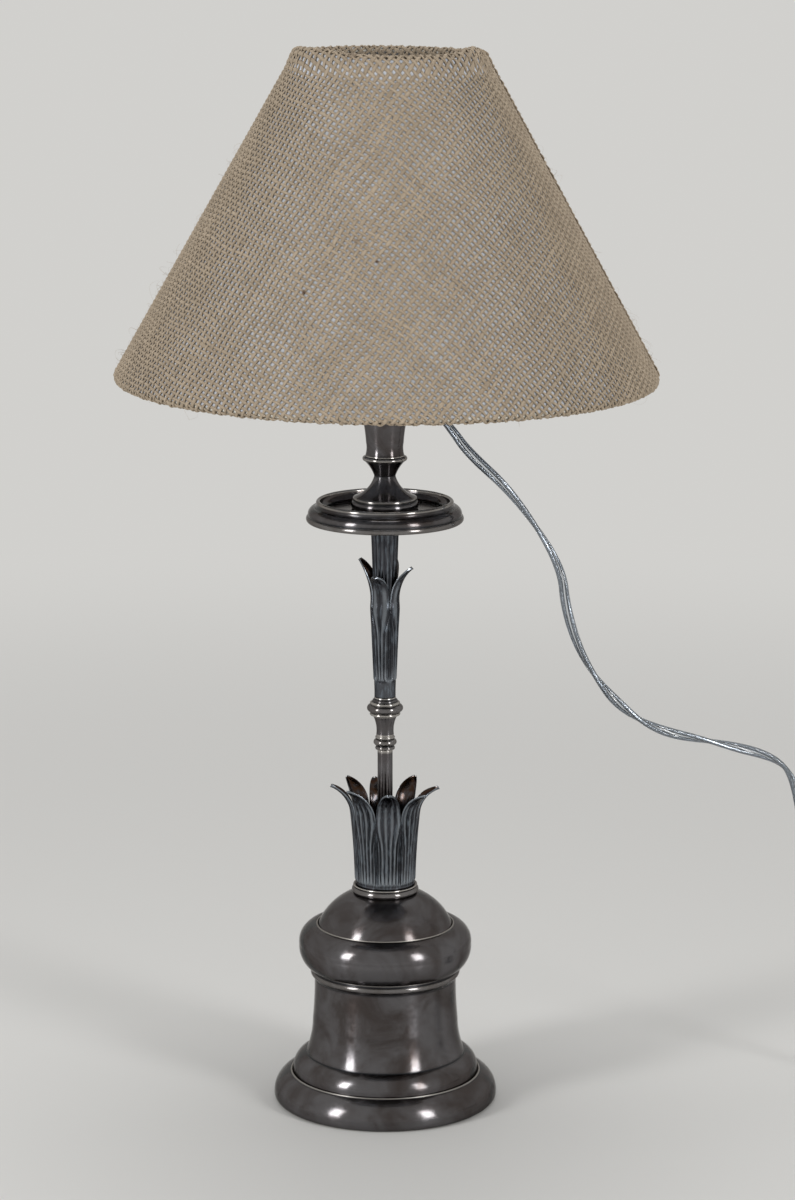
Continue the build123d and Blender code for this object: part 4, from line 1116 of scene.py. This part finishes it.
def stray_hairs():
    """Loose jute fibres: three-sided hairs that leave the cover at random places, lean along
    it and curl, thinning to their ends."""
    jute = bpy.context.scene.lamp_jute
    rng = np.random.default_rng(jute.seed + 50)
    count, stations, sides = 1400, 7, 3
    root_height = 0.35
    _, _, _, length = cover_track()
    top_reach = SHADE_HIGH_RADIUS / math.sin(SLOPE)
    reach = top_reach + length * np.sqrt(rng.uniform(0.02, 1, count))
    turn = np.radians(rng.uniform(SEAM_TURN - 360, SEAM_TURN, count)) * math.sin(SLOPE)
    size = rng.gamma(2.2, 2.1, count)[:, None] + 1.5
    t = np.linspace(0, 1, stations)[None]
    heading = rng.uniform(0, 2 * math.pi, count)[:, None]
    heading = heading + rng.uniform(-1.6, 1.6, count)[:, None] * t
    step = size / stations
    x = (reach * np.sin(turn))[:, None] + np.cumsum(np.cos(heading) * step, 1)
    y = (-reach * np.cos(turn))[:, None] + np.cumsum(np.sin(heading) * step, 1)
    loft = rng.uniform(0.05, 0.62, count)[:, None] * size
    rise = loft * np.sin(t * math.pi * rng.uniform(0.45, 1.0, count)[:, None])
    thickness = rng.uniform(0.05, 0.10, count)[:, None] * (1 - 0.75 * t)
    ring = np.radians(90 + 360 * np.arange(sides) / sides)
    lift = rise[..., None] + root_height + thickness[..., None] * np.sin(ring)
    sideways = thickness[..., None] * np.cos(ring)
    x = x[..., None] - np.sin(heading)[..., None] * sideways
    y = y[..., None] + np.cos(heading)[..., None] * sideways
    points, _, _ = cover_points(x, y, lift)
    starts = np.arange(count)[:, None, None] * stations * sides
    faces = [(group + starts).reshape(-1, group.shape[1]) for group in capped(stations, sides)]
    tone = np.repeat(rng.uniform(-0.3, 0.3, count), stations * sides)
    marks = {"tone": tone, "speck": 0 * tone}
    uv = np.zeros((sum(group.size for group in faces), 2))
    return make_piece("jute_hairs", points.reshape(-1, 3), faces, "jute_yarn", "shade",
                      marks, ("Hair", uv))


def lining_piece():
    """Backing cloth under the weave: a closed thin cone that ends on the wires."""
    spread = 1 / math.cos(SLOPE)
    depth, thickness = 1.0, 0.4
    height = np.linspace(SHADE_LOW + LINING_LOW, SHADE_HIGH - LINING_HIGH, 41)
    outer = np.stack([cone_radius(height) - depth * spread, height], -1)
    inner = np.stack([cone_radius(height) - (depth + thickness) * spread, height], -1)[::-1]
    shape = np.concatenate([outer, inner])
    points, quads, marks, uv = turned_surface(shape, segments=180, radius=0.1)
    along = (SHADE_HIGH - WIRE_HEIGHT - points[:, 2]) / math.cos(SLOPE)
    points[:, 2] += fold_rise(np.degrees(np.arctan2(points[:, 0], -points[:, 1])), along)
    return make_piece("shade_lining_cloth", hung(points), [quads], "cotton_lining", "shade",
                      marks, ("Turning", uv), ("shade_lining",))


# ---------------------------------------------------------------- flex
RELIEF_EXIT_M = (0.02948, 0.0, 0.39066)
HANGING_ROUTE_M = (
    RELIEF_EXIT_M, (0.03623, 0.0, 0.38262), (0.0456, 0.0, 0.3692), (0.0705, 0.0, 0.3465),
    (0.0970, 0.0, 0.3070), (0.0998, 0.0, 0.2805), (0.1090, 0.001, 0.2540),
    (0.1270, 0.003, 0.2285), (0.1505, 0.008, 0.2110), (0.1864, 0.016, 0.2020),
    (0.2214, 0.022, 0.1916), (0.2310, 0.024, 0.1760), (0.2356, 0.0245, 0.1520),
    (0.2420, 0.024, 0.1180), (0.2494, 0.0235, 0.0845), (0.2566, 0.024, 0.0560),
    (0.2648, 0.0243, 0.0315), (0.2760, 0.0241, 0.0115), (0.2920, 0.0241, 0.00285),
)
COIL_CENTRE_M = (0.310, -0.015)
COIL_RADIUS_M = 0.0391
COIL_PITCH_M = 0.00625
COIL_DIP_M = 0.0019
COIL_TURNS = 6.25
CLIMB_START = 3.0
CLIMB_END = 3.5
FLOOR_LEVEL_M = 0.00285
TAIL_ROUTE_M = (
    (0.34754, -0.0206, 0.0091), (0.34754, -0.0336, 0.0091), (0.35074, -0.0486, 0.0072),
    (0.35194, -0.0656, 0.0067), (0.35194, -0.0776, 0.0067),
)
POINTS_PER_TURN = 16
# distance along the flex in mm, and its twist there in half turns from lying edge to edge
# along Y, as the bright wires cross over in the hanging stretch
TWIST = ((0, -0.9), (85, 0), (178, 1), (212, 2), (258, 3), (303, 4), (350, 5), (405, 6),
         (490, 6.62), (1650, 6.62), (1706, 7))


def coil_route():
    """Control points of the put-away coil: it spirals in, climbs a layer in the half turn
    that leans inwards, and spirals out on top, clockwise. They stand 1/cos(half a step)
    further out, so that the line through their middles keeps the radius."""
    turns = np.arange(0, COIL_TURNS * POINTS_PER_TURN + 1) / POINTS_PER_TURN
    share = np.clip((turns - CLIMB_START) / (CLIMB_END - CLIMB_START), 0, 1)
    inner = COIL_RADIUS_M - COIL_PITCH_M * CLIMB_START
    radius = np.where(
        turns < CLIMB_END, COIL_RADIUS_M - COIL_PITCH_M * np.minimum(turns, CLIMB_START),
        inner + COIL_PITCH_M * (turns - CLIMB_END))
    radius = radius - COIL_DIP_M * np.sin(math.pi * share) ** 2
    radius = radius / math.cos(math.pi / POINTS_PER_TURN)
    level = FLOOR_LEVEL_M + COIL_PITCH_M * smooth(share, 0, 1)
    angle = math.pi / 2 - 2 * math.pi * turns
    return np.stack([COIL_CENTRE_M[0] + radius * np.cos(angle),
                     COIL_CENTRE_M[1] + radius * np.sin(angle), level], -1)


def spline_path(name, route_m, step):
    """Even points in mm along the order 3 NURBS spline whose control points are the route."""
    curve = bpy.data.curves.new(name, "CURVE")
    curve.dimensions = "3D"
    curve.resolution_u = 12
    spline = curve.splines.new("NURBS")
    spline.points.add(len(route_m) - 1)
    spline.points.foreach_set("co", np.c_[route_m, np.ones(len(route_m))].ravel())
    spline.order_u = 3
    spline.use_endpoint_u = True
    holder = bpy.data.objects.new(name, curve)
    mesh = bpy.data.meshes.new_from_object(holder)
    path = np.empty(len(mesh.vertices) * 3)
    mesh.vertices.foreach_get("co", path)
    path = path.reshape(-1, 3) / MM
    bpy.data.objects.remove(holder)
    bpy.data.curves.remove(curve)
    bpy.data.meshes.remove(mesh)
    length = travelled(path)
    place = np.linspace(0, length[-1], int(length[-1] / step))
    return np.stack([np.interp(place, length, path[:, k]) for k in range(3)], -1), place


def flex_frame(path, place):
    """Directions across and over the flex at each point: the first is square to the path and
    as near as can be to Y while it hangs, or to the coil's radius once it lies, and both are
    then turned by the twist."""
    tangent = np.gradient(path, place, axis=0)
    tangent /= np.linalg.norm(tangent, axis=1)[:, None]
    level = np.stack([-tangent[:, 1], tangent[:, 0], 0 * place], -1)
    hanging = np.array([0.0, 1.0, 0.0])
    lying_start, lying_end = 495, 515
    share = smooth(place, lying_start, lying_end)[:, None]
    side = hanging * (1 - share) + level * share
    side = side - np.sum(side * tangent, 1)[:, None] * tangent
    side /= np.linalg.norm(side, axis=1)[:, None]
    over = np.cross(tangent, side)
    knots = np.array(TWIST)
    twist = np.interp(place, knots[:, 0], knots[:, 1])
    reach = 9
    twist = np.convolve(np.pad(twist, reach, mode="edge"), averaging(reach), "valid")
    twist = math.pi * twist[:, None]
    return side * np.cos(twist) + over * np.sin(twist), over * np.cos(twist) - side * np.sin(twist)


def tube(path, across, over, shape_x, shape_y):
    """Points and faces of a closed section carried along a path, with a flat cap at each end,
    and each quad corner's column and row. The section's x runs across and its y over."""
    points = (path[:, None] + shape_x[..., None] * across[:, None]
              + shape_y[..., None] * over[:, None])
    rows, columns = points.shape[:2]
    _, row, column = closed_grid(rows, columns, close_columns=True)
    places = np.stack([row, column], -1)[:, ::-1].reshape(-1, 2)
    return points.reshape(-1, 3), capped(rows, columns), places


def flex_pieces():
    """The clear twin flex: a figure-of-eight sheath whose half thickness follows two circles
    joined by a web, and a tinned wire in each half, its radius R (1 + 0.1 cos 7(a - lay)) for
    seven strands that turn once in the lay's length."""
    look = bpy.context.scene.lamp_flex
    web_share, wire_radius, strands, lay_length = 0.66, 0.78, 7, 16
    route = np.concatenate([np.array(HANGING_ROUTE_M), coil_route(), np.array(TAIL_ROUTE_M)])
    path, place = spline_path("flex_line", route, step=2.0)
    across, over = flex_frame(path, place)
    radius = look.thickness / 2
    offset = look.width / 2 - radius
    turn = np.linspace(0, 2 * math.pi, 24, endpoint=False)[None]
    x = (radius + offset) * np.cos(turn)
    from_core = np.clip((np.abs(x) - offset) / radius, -1, 1)
    web = web_share * (np.abs(x) < offset)
    y = radius * np.maximum(np.sqrt(1 - from_core ** 2), web) * np.sign(np.sin(turn))
    row = np.ones((len(path), 1))
    points, faces, _ = tube(path, across, over, x * row, y * row)
    sheath = make_piece("flex_sheath", points, faces, "clear_vinyl", "root",
                        stands_for=("cord_drop", "cord_coil", "cord_tail"))
    wires = []
    turn = np.linspace(0, 2 * math.pi, 21, endpoint=False)[None]
    lay = 2 * math.pi * place[:, None] / lay_length
    for side, word in ((-1, "left"), (1, "right")):
        strand = wire_radius * (1 + 0.10 * np.cos(strands * (turn - lay)))
        x = side * offset + strand * np.cos(turn)
        y = strand * np.sin(turn)
        points, faces, places = tube(path, across, over, x, y)
        quad_uv = places * (2.0 * MM, 0.25 * MM)
        cap_uv = np.zeros((2 * turn.shape[1], 2))
        wires.append(make_piece(f"flex_wire_{word}", points, faces, "tinned_copper", "root",
                                uv=("Flex", np.concatenate([quad_uv, cap_uv]))))
    return sheath, wires, path, place


OUTLET_DIP = math.radians(50)     # the outlet points this far below the level, towards +X
RELIEF_TAPER = 20.0


def relief_piece():
    """Ribbed strain relief: a taper turned about the outlet's axis, its radius narrower by
    depth ((1 + cos)/2)^2 in each groove, with a flange against the outlet."""
    along = np.array([math.cos(OUTLET_DIP), 0, -math.sin(OUTLET_DIP)])
    across = np.array([0.0, 1.0, 0.0])
    groove_depth, groove_step = 0.75, 2.3
    down = np.linspace(0, RELIEF_TAPER, 141)
    ribbed = smooth(down, 2.2, 3.2) * smooth(down, RELIEF_TAPER - 1.2, RELIEF_TAPER - 2.2)
    groove = 0.5 + 0.5 * np.cos(2 * math.pi * (down - 3.2) / groove_step)
    radius = 4.1 - down / RELIEF_TAPER - groove_depth * ribbed * groove ** 2
    shape = np.concatenate([
        [(1.0, -8.5), (3.25, -8.5), (3.25, -1.2), (4.4, -1.2), (4.4, 0)],
        np.stack([radius, down], -1), [(1.0, RELIEF_TAPER)]])
    points, quads, _, _ = turned_surface(shape, segments=48, radius=0.25)
    points = (np.array(RELIEF_EXIT_M) / MM + points[:, :1] * across
              + points[:, 1:2] * np.cross(along, across) + (points[:, 2:] - RELIEF_TAPER) * along)
    return make_piece("ribbed_relief", points, [quads], "clear_vinyl", "root",
                      stands_for=("cord_relief",))


def plug_piece():
    """Moulded flat plug: sections (x, z) = (a cos^p, b sin^p) with p falling from 1, an
    ellipse at the flex, to 0.55 at the pins, with ribs on its neck and finger hollows."""
    neck_rib_step, grip_rib_step = 2.6, 2.4
    low, high = (np.array(corner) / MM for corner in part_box("plug_body"))
    middle = (low + high) / 2
    half = (high - low) / 2
    down = np.concatenate([[0], np.linspace(0, high[1] - low[1], 110), [high[1] - low[1]]])
    share = smooth(down, 15, 27)
    neck_ribs = 0.5 + 0.5 * np.cos(2 * math.pi * down / neck_rib_step)
    neck_groove = 0.55 * smooth(down, 2, 4) * smooth(down, 17, 14) * neck_ribs
    end = np.sqrt(1 - 0.35 * np.clip((down - down[-1] + 2.2) / 2.2, 0, 1) ** 2)
    grip = bell(down, 38, 7)
    a = (3.9 + 2.7 * down / 20 - neck_groove) * (1 - share) + (half[0] - 1.3 * grip) * share * end
    b = (3.4 + 1.2 * down / 20 - neck_groove) * (1 - share) + (half[2] - 0.9 * grip) * share * end
    b = b - 0.22 * grip * (0.5 + 0.5 * np.cos(2 * math.pi * down / grip_rib_step))
    power = (1 - 0.45 * share)[:, None]
    shrink = np.where(np.arange(len(down)) % (len(down) - 1) == 0, 0.3, 1.0)
    turn = np.linspace(0, 2 * math.pi, 56, endpoint=False)[None]
    x = (a * shrink)[:, None] * rounded(np.cos(turn), power)
    z = (b * shrink)[:, None] * rounded(np.sin(turn), power)
    points = np.stack([middle[0] + x, high[1] - down[:, None] + 0 * x, middle[2] + z], -1)
    return make_piece("plug_moulding", points.reshape(-1, 3), capped(*x.shape), "plug_vinyl",
                      "root", stands_for=("plug_body",))


def tie_piece():
    """Vinyl strap closed round the coil's turns: a rounded rectangle |u|^n + |v|^n = 1 with
    n = 5 in the plane of the radius and the height, carried its width along the turns."""
    width, thickness, power = 6.0, 0.5, 2 / 5
    inner = (COIL_RADIUS_M - COIL_PITCH_M * CLIMB_START) / MM - 4.2
    outer = COIL_RADIUS_M / MM + 4.0
    top = (FLOOR_LEVEL_M + COIL_PITCH_M) / MM + 3.3
    turn = np.linspace(0, 2 * math.pi, 64, endpoint=False)
    u, v = rounded(np.cos(turn), power), rounded(np.sin(turn), power)
    rows = []
    for reach, side in ((0, -1), (thickness, -1), (thickness, 1), (0, 1)):
        radius = (inner + outer) / 2 + ((outer - inner) / 2 - thickness + reach) * u
        level = top / 2 + 0.03 + (top / 2 - thickness + reach) * v
        rows.append(np.stack([radius, side * width / 2 + 0 * u, level], -1))
    out, along, level = np.moveaxis(np.stack(rows), -1, 0)
    heading = math.radians(205)
    x = COIL_CENTRE_M[0] / MM + out * math.cos(heading) - along * math.sin(heading)
    y = COIL_CENTRE_M[1] / MM + out * math.sin(heading) + along * math.cos(heading)
    quads, _, _ = closed_grid(len(rows), len(turn), close_rows=True, close_columns=True)
    return make_piece("flex_tie", np.stack([x, y, level], -1).reshape(-1, 3), [quads],
                      "tie_vinyl", "root")


# ---------------------------------------------------------------- CAD nodes that show as they are
NODE_FINISH = {
    "steel": "zinc_plated_steel", "plaster": "cast_plaster", "baize": "green_baize",
    "rubber": "natural_rubber", "lacquered_brass": "golden_lacquered_brass",
    "nickel_brass": "nickel_plated_brass", "phenolic": "black_phenolic",
    "white_steel": "powder_coated_steel", "bulb_glass": "blown_glass",
    "filament": "coated_filament", "plug_plastic": "plug_vinyl", "clear_pvc": "clear_vinyl",
    "silver_plate": "tarnished_silver_plate", "jute": "jute_yarn", "lining": "cotton_lining",
}


# ---------------------------------------------------------------- operators
class LAMP_OT_frame(bpy.types.Operator):
    """Gives every CAD node the finish of its slot"""

    bl_idname = "lamp.frame_finish"
    bl_label = "Frame finish"

    def execute(self, context):
        slots = {row["node"]: row["material_slot"] for row in frame["record"]["subparts"]}
        for name, node in frame["nodes"].items():
            node.data.materials.clear()
            node.data.materials.append(finish(NODE_FINISH[slots[name]]))
        return {"FINISHED"}


class LAMP_OT_candlestick(bpy.types.Operator):
    """Spins the base and turns the column of the candlestick"""

    bl_idname = "lamp.candlestick"
    bl_label = "Candlestick"

    def execute(self, context):
        # the dish gets brown for tarnish and for a painted reflection of the shade
        tarnish_and_reflection_marks = {"drip_tray": dish_tarnish_and_reflection}
        for node, shape in {**base_outlines(), **column_outlines()}.items():
            turned_piece(node, shape, tarnish_and_reflection_marks.get(node))
        return {"FINISHED"}


class LAMP_OT_leaves(bpy.types.Operator):
    """Raises the leaves of both cups and the reeded stem between them"""

    bl_idname = "lamp.leaves"
    bl_label = "Leaves"

    def execute(self, context):
        for name, node, (points, faces, marks) in (
                ("lower_leaves", "lower_leaf_cup", lower_leaf_cup()),
                ("upper_leaves", "upper_leaf_cup", upper_leaf_cup()),
                ("reeded_stem", "fluted_stem", reeded_stem())):
            make_piece(name, points, faces, "chased_silver_plate", "root",
                       marks, stands_for=(node,))
        return {"FINISHED"}


class LAMP_OT_shade(bpy.types.Operator):
    """Weaves the jute cover over its wires and lines it"""

    bl_idname = "lamp.shade"
    bl_label = "Jute shade"

    def execute(self, context):
        lining = lining_piece()
        weave = weave_pieces()
        hairs = stray_hairs()
        return {"FINISHED"}


class LAMP_OT_flex(bpy.types.Operator):
    """Lays the clear twin flex from the outlet to its coil and plug"""

    bl_idname = "lamp.flex"
    bl_label = "Flex"

    def execute(self, context):
        sheath, wires, path, place = flex_pieces()
        others = [relief_piece(), plug_piece(), tie_piece(), frame["nodes"]["plug_pins"]]
        return {"FINISHED"}


class LAMP_OT_stage(bpy.types.Operator):
    """Sets the pale floor, the soft light and the camera"""

    bl_idname = "lamp.stage"
    bl_label = "Stage"

    @staticmethod
    def seen(tree):
        """1 for a ray from the camera, or one mirrored or passed on by glass and metal."""
        rays = add_node(tree, "ShaderNodeLightPath")
        seen = add_node(tree, "ShaderNodeMath", {
            0: rays.outputs["Is Camera Ray"], 1: rays.outputs["Is Glossy Ray"]},
            operation="MAXIMUM").outputs[0]
        return add_node(tree, "ShaderNodeMath", {
            0: seen, 1: rays.outputs["Is Transmission Ray"]}, operation="MAXIMUM").outputs[0]

    def execute(self, context):
        scene = context.scene
        look = scene.lamp_stage
        scene.view_settings.view_transform = "Standard"

        half_m = 15.0
        corners = [(-half_m, -half_m, 0), (half_m, -half_m, 0), (half_m, half_m, 0),
                   (-half_m, half_m, 0)]
        mesh = bpy.data.meshes.new("floor")
        mesh.from_pydata(corners, [], [(0, 1, 2, 3)])
        floor = bpy.data.objects.new("floor", mesh)
        scene.collection.objects.link(floor)
        material, tree, shader = new_material("pale_paper", **{
            "Base Color": look.floor, "Roughness": 0.9})
        place = add_node(tree, "ShaderNodeTexCoord").outputs["Object"]
        away = add_node(tree, "ShaderNodeVectorMath", {
            0: place}, operation="LENGTH").outputs["Value"]
        far_start_m, far_end_m = 0.4, 1.6
        away = add_node(tree, "ShaderNodeMapRange", {
            "Value": away, "From Min": far_start_m, "From Max": far_end_m},
            interpolation_type="SMOOTHSTEP").outputs[0]
        far = add_node(tree, "ShaderNodeMath", {
            0: away, 1: self.seen(tree)}, operation="MULTIPLY").outputs[0]
        glow = add_node(tree, "ShaderNodeEmission", {
            "Color": look.floor, "Strength": look.backdrop}).outputs[0]
        mixed = add_node(tree, "ShaderNodeMixShader", {
            0: far, 1: shader.outputs[0], 2: glow}).outputs[0]
        output = next(node for node in tree.nodes if node.type == "OUTPUT_MATERIAL")
        tree.links.new(mixed, output.inputs["Surface"])
        mesh.materials.append(material)

        world = bpy.data.worlds.new("studio")
        world.use_nodes = True
        tree = world.node_tree
        tree.nodes.clear()
        ambient = add_node(tree, "ShaderNodeBackground", {
            "Color": (1, 1, 1, 1), "Strength": look.world})
        shown = add_node(tree, "ShaderNodeBackground", {
            "Color": look.floor, "Strength": look.backdrop})
        mixed = add_node(tree, "ShaderNodeMixShader", {
            0: self.seen(tree), 1: ambient.outputs[0], 2: shown.outputs[0]}).outputs[0]
        add_node(tree, "ShaderNodeOutputWorld", {"Surface": mixed})
        scene.world = world

        target_m = np.array([0.0, 0.0, 0.28])
        for word, azimuth, height, reach, width, tall, share in (
                ("left", -53, 0.82, 1.9, 0.40, 1.2, 1.25),
                ("right", 45, 0.82, 1.9, 0.40, 1.2, 1.1),
                ("top", 180, 2.1, 0.5, 1.2, 0.8, 0.7)):
            light = bpy.data.lights.new(f"soft_box_{word}", "AREA")
            light.shape = "RECTANGLE"
            light.size = width
            light.size_y = tall
            light.energy = look.lamp_power * share
            lamp = bpy.data.objects.new(f"soft_box_{word}", light)
            turn = math.radians(azimuth)
            place = np.array([reach * math.sin(turn), -reach * math.cos(turn), height])
            aim = (target_m - place) / np.linalg.norm(target_m - place)
            lamp.location = place
            lamp.rotation_euler = (math.acos(-aim[2]), 0, math.atan2(-aim[0], aim[1]))
            scene.collection.objects.link(lamp)

        camera = bpy.data.objects.new("camera", bpy.data.cameras.new("camera"))
        focal_pixels = 3842
        pitch_down = 12.0
        stand_m = (0.0069, -2.070, 0.727)
        camera.data.sensor_width = 36
        camera.data.lens = focal_pixels / PHOTO_HEIGHT * camera.data.sensor_width
        camera.data.clip_start = 0.05
        camera.data.clip_end = 60
        camera.location = stand_m
        camera.rotation_euler = (math.radians(90 - pitch_down), 0, 0)
        scene.collection.objects.link(camera)
        scene.camera = camera
        return {"FINISHED"}


class LAMP_PT_panel(bpy.types.Panel):
    """Lists the lamp's settings and the buttons of its operators"""

    bl_idname = "LAMP_PT_panel"
    bl_label = "Candlestick lamp"
    bl_space_type = "VIEW_3D"
    bl_region_type = "UI"
    bl_category = "Lamp"

    def draw(self, context):
        layout = self.layout
        for name, group in SETTINGS.items():
            box = layout.box()
            box.label(text=group.__doc__)
            for setting in group.__annotations__:
                box.prop(getattr(context.scene, name), setting)
        for operator in OPERATORS:
            layout.operator(operator.bl_idname)


OPERATORS = (
    LAMP_OT_stage, LAMP_OT_frame, LAMP_OT_flex, LAMP_OT_candlestick, LAMP_OT_leaves, LAMP_OT_shade,
)


def register():
    for group in SETTINGS.values():
        bpy.utils.register_class(group)
    for name, group in SETTINGS.items():
        setattr(bpy.types.Scene, name, bpy.props.PointerProperty(type=group))
    for operator in OPERATORS:
        bpy.utils.register_class(operator)
    bpy.utils.register_class(LAMP_PT_panel)


def unregister():
    bpy.utils.unregister_class(LAMP_PT_panel)
    for operator in reversed(OPERATORS):
        bpy.utils.unregister_class(operator)
    for name, group in SETTINGS.items():
        delattr(bpy.types.Scene, name)
        bpy.utils.unregister_class(group)


def main():
    """Builds everything."""
    register()
    bpy.ops.lamp.stage()
    bpy.ops.lamp.frame_finish()
    bpy.ops.lamp.flex()
    bpy.ops.lamp.candlestick()
    bpy.ops.lamp.leaves()
    bpy.ops.lamp.shade()


if __name__ == "__main__":
    main()
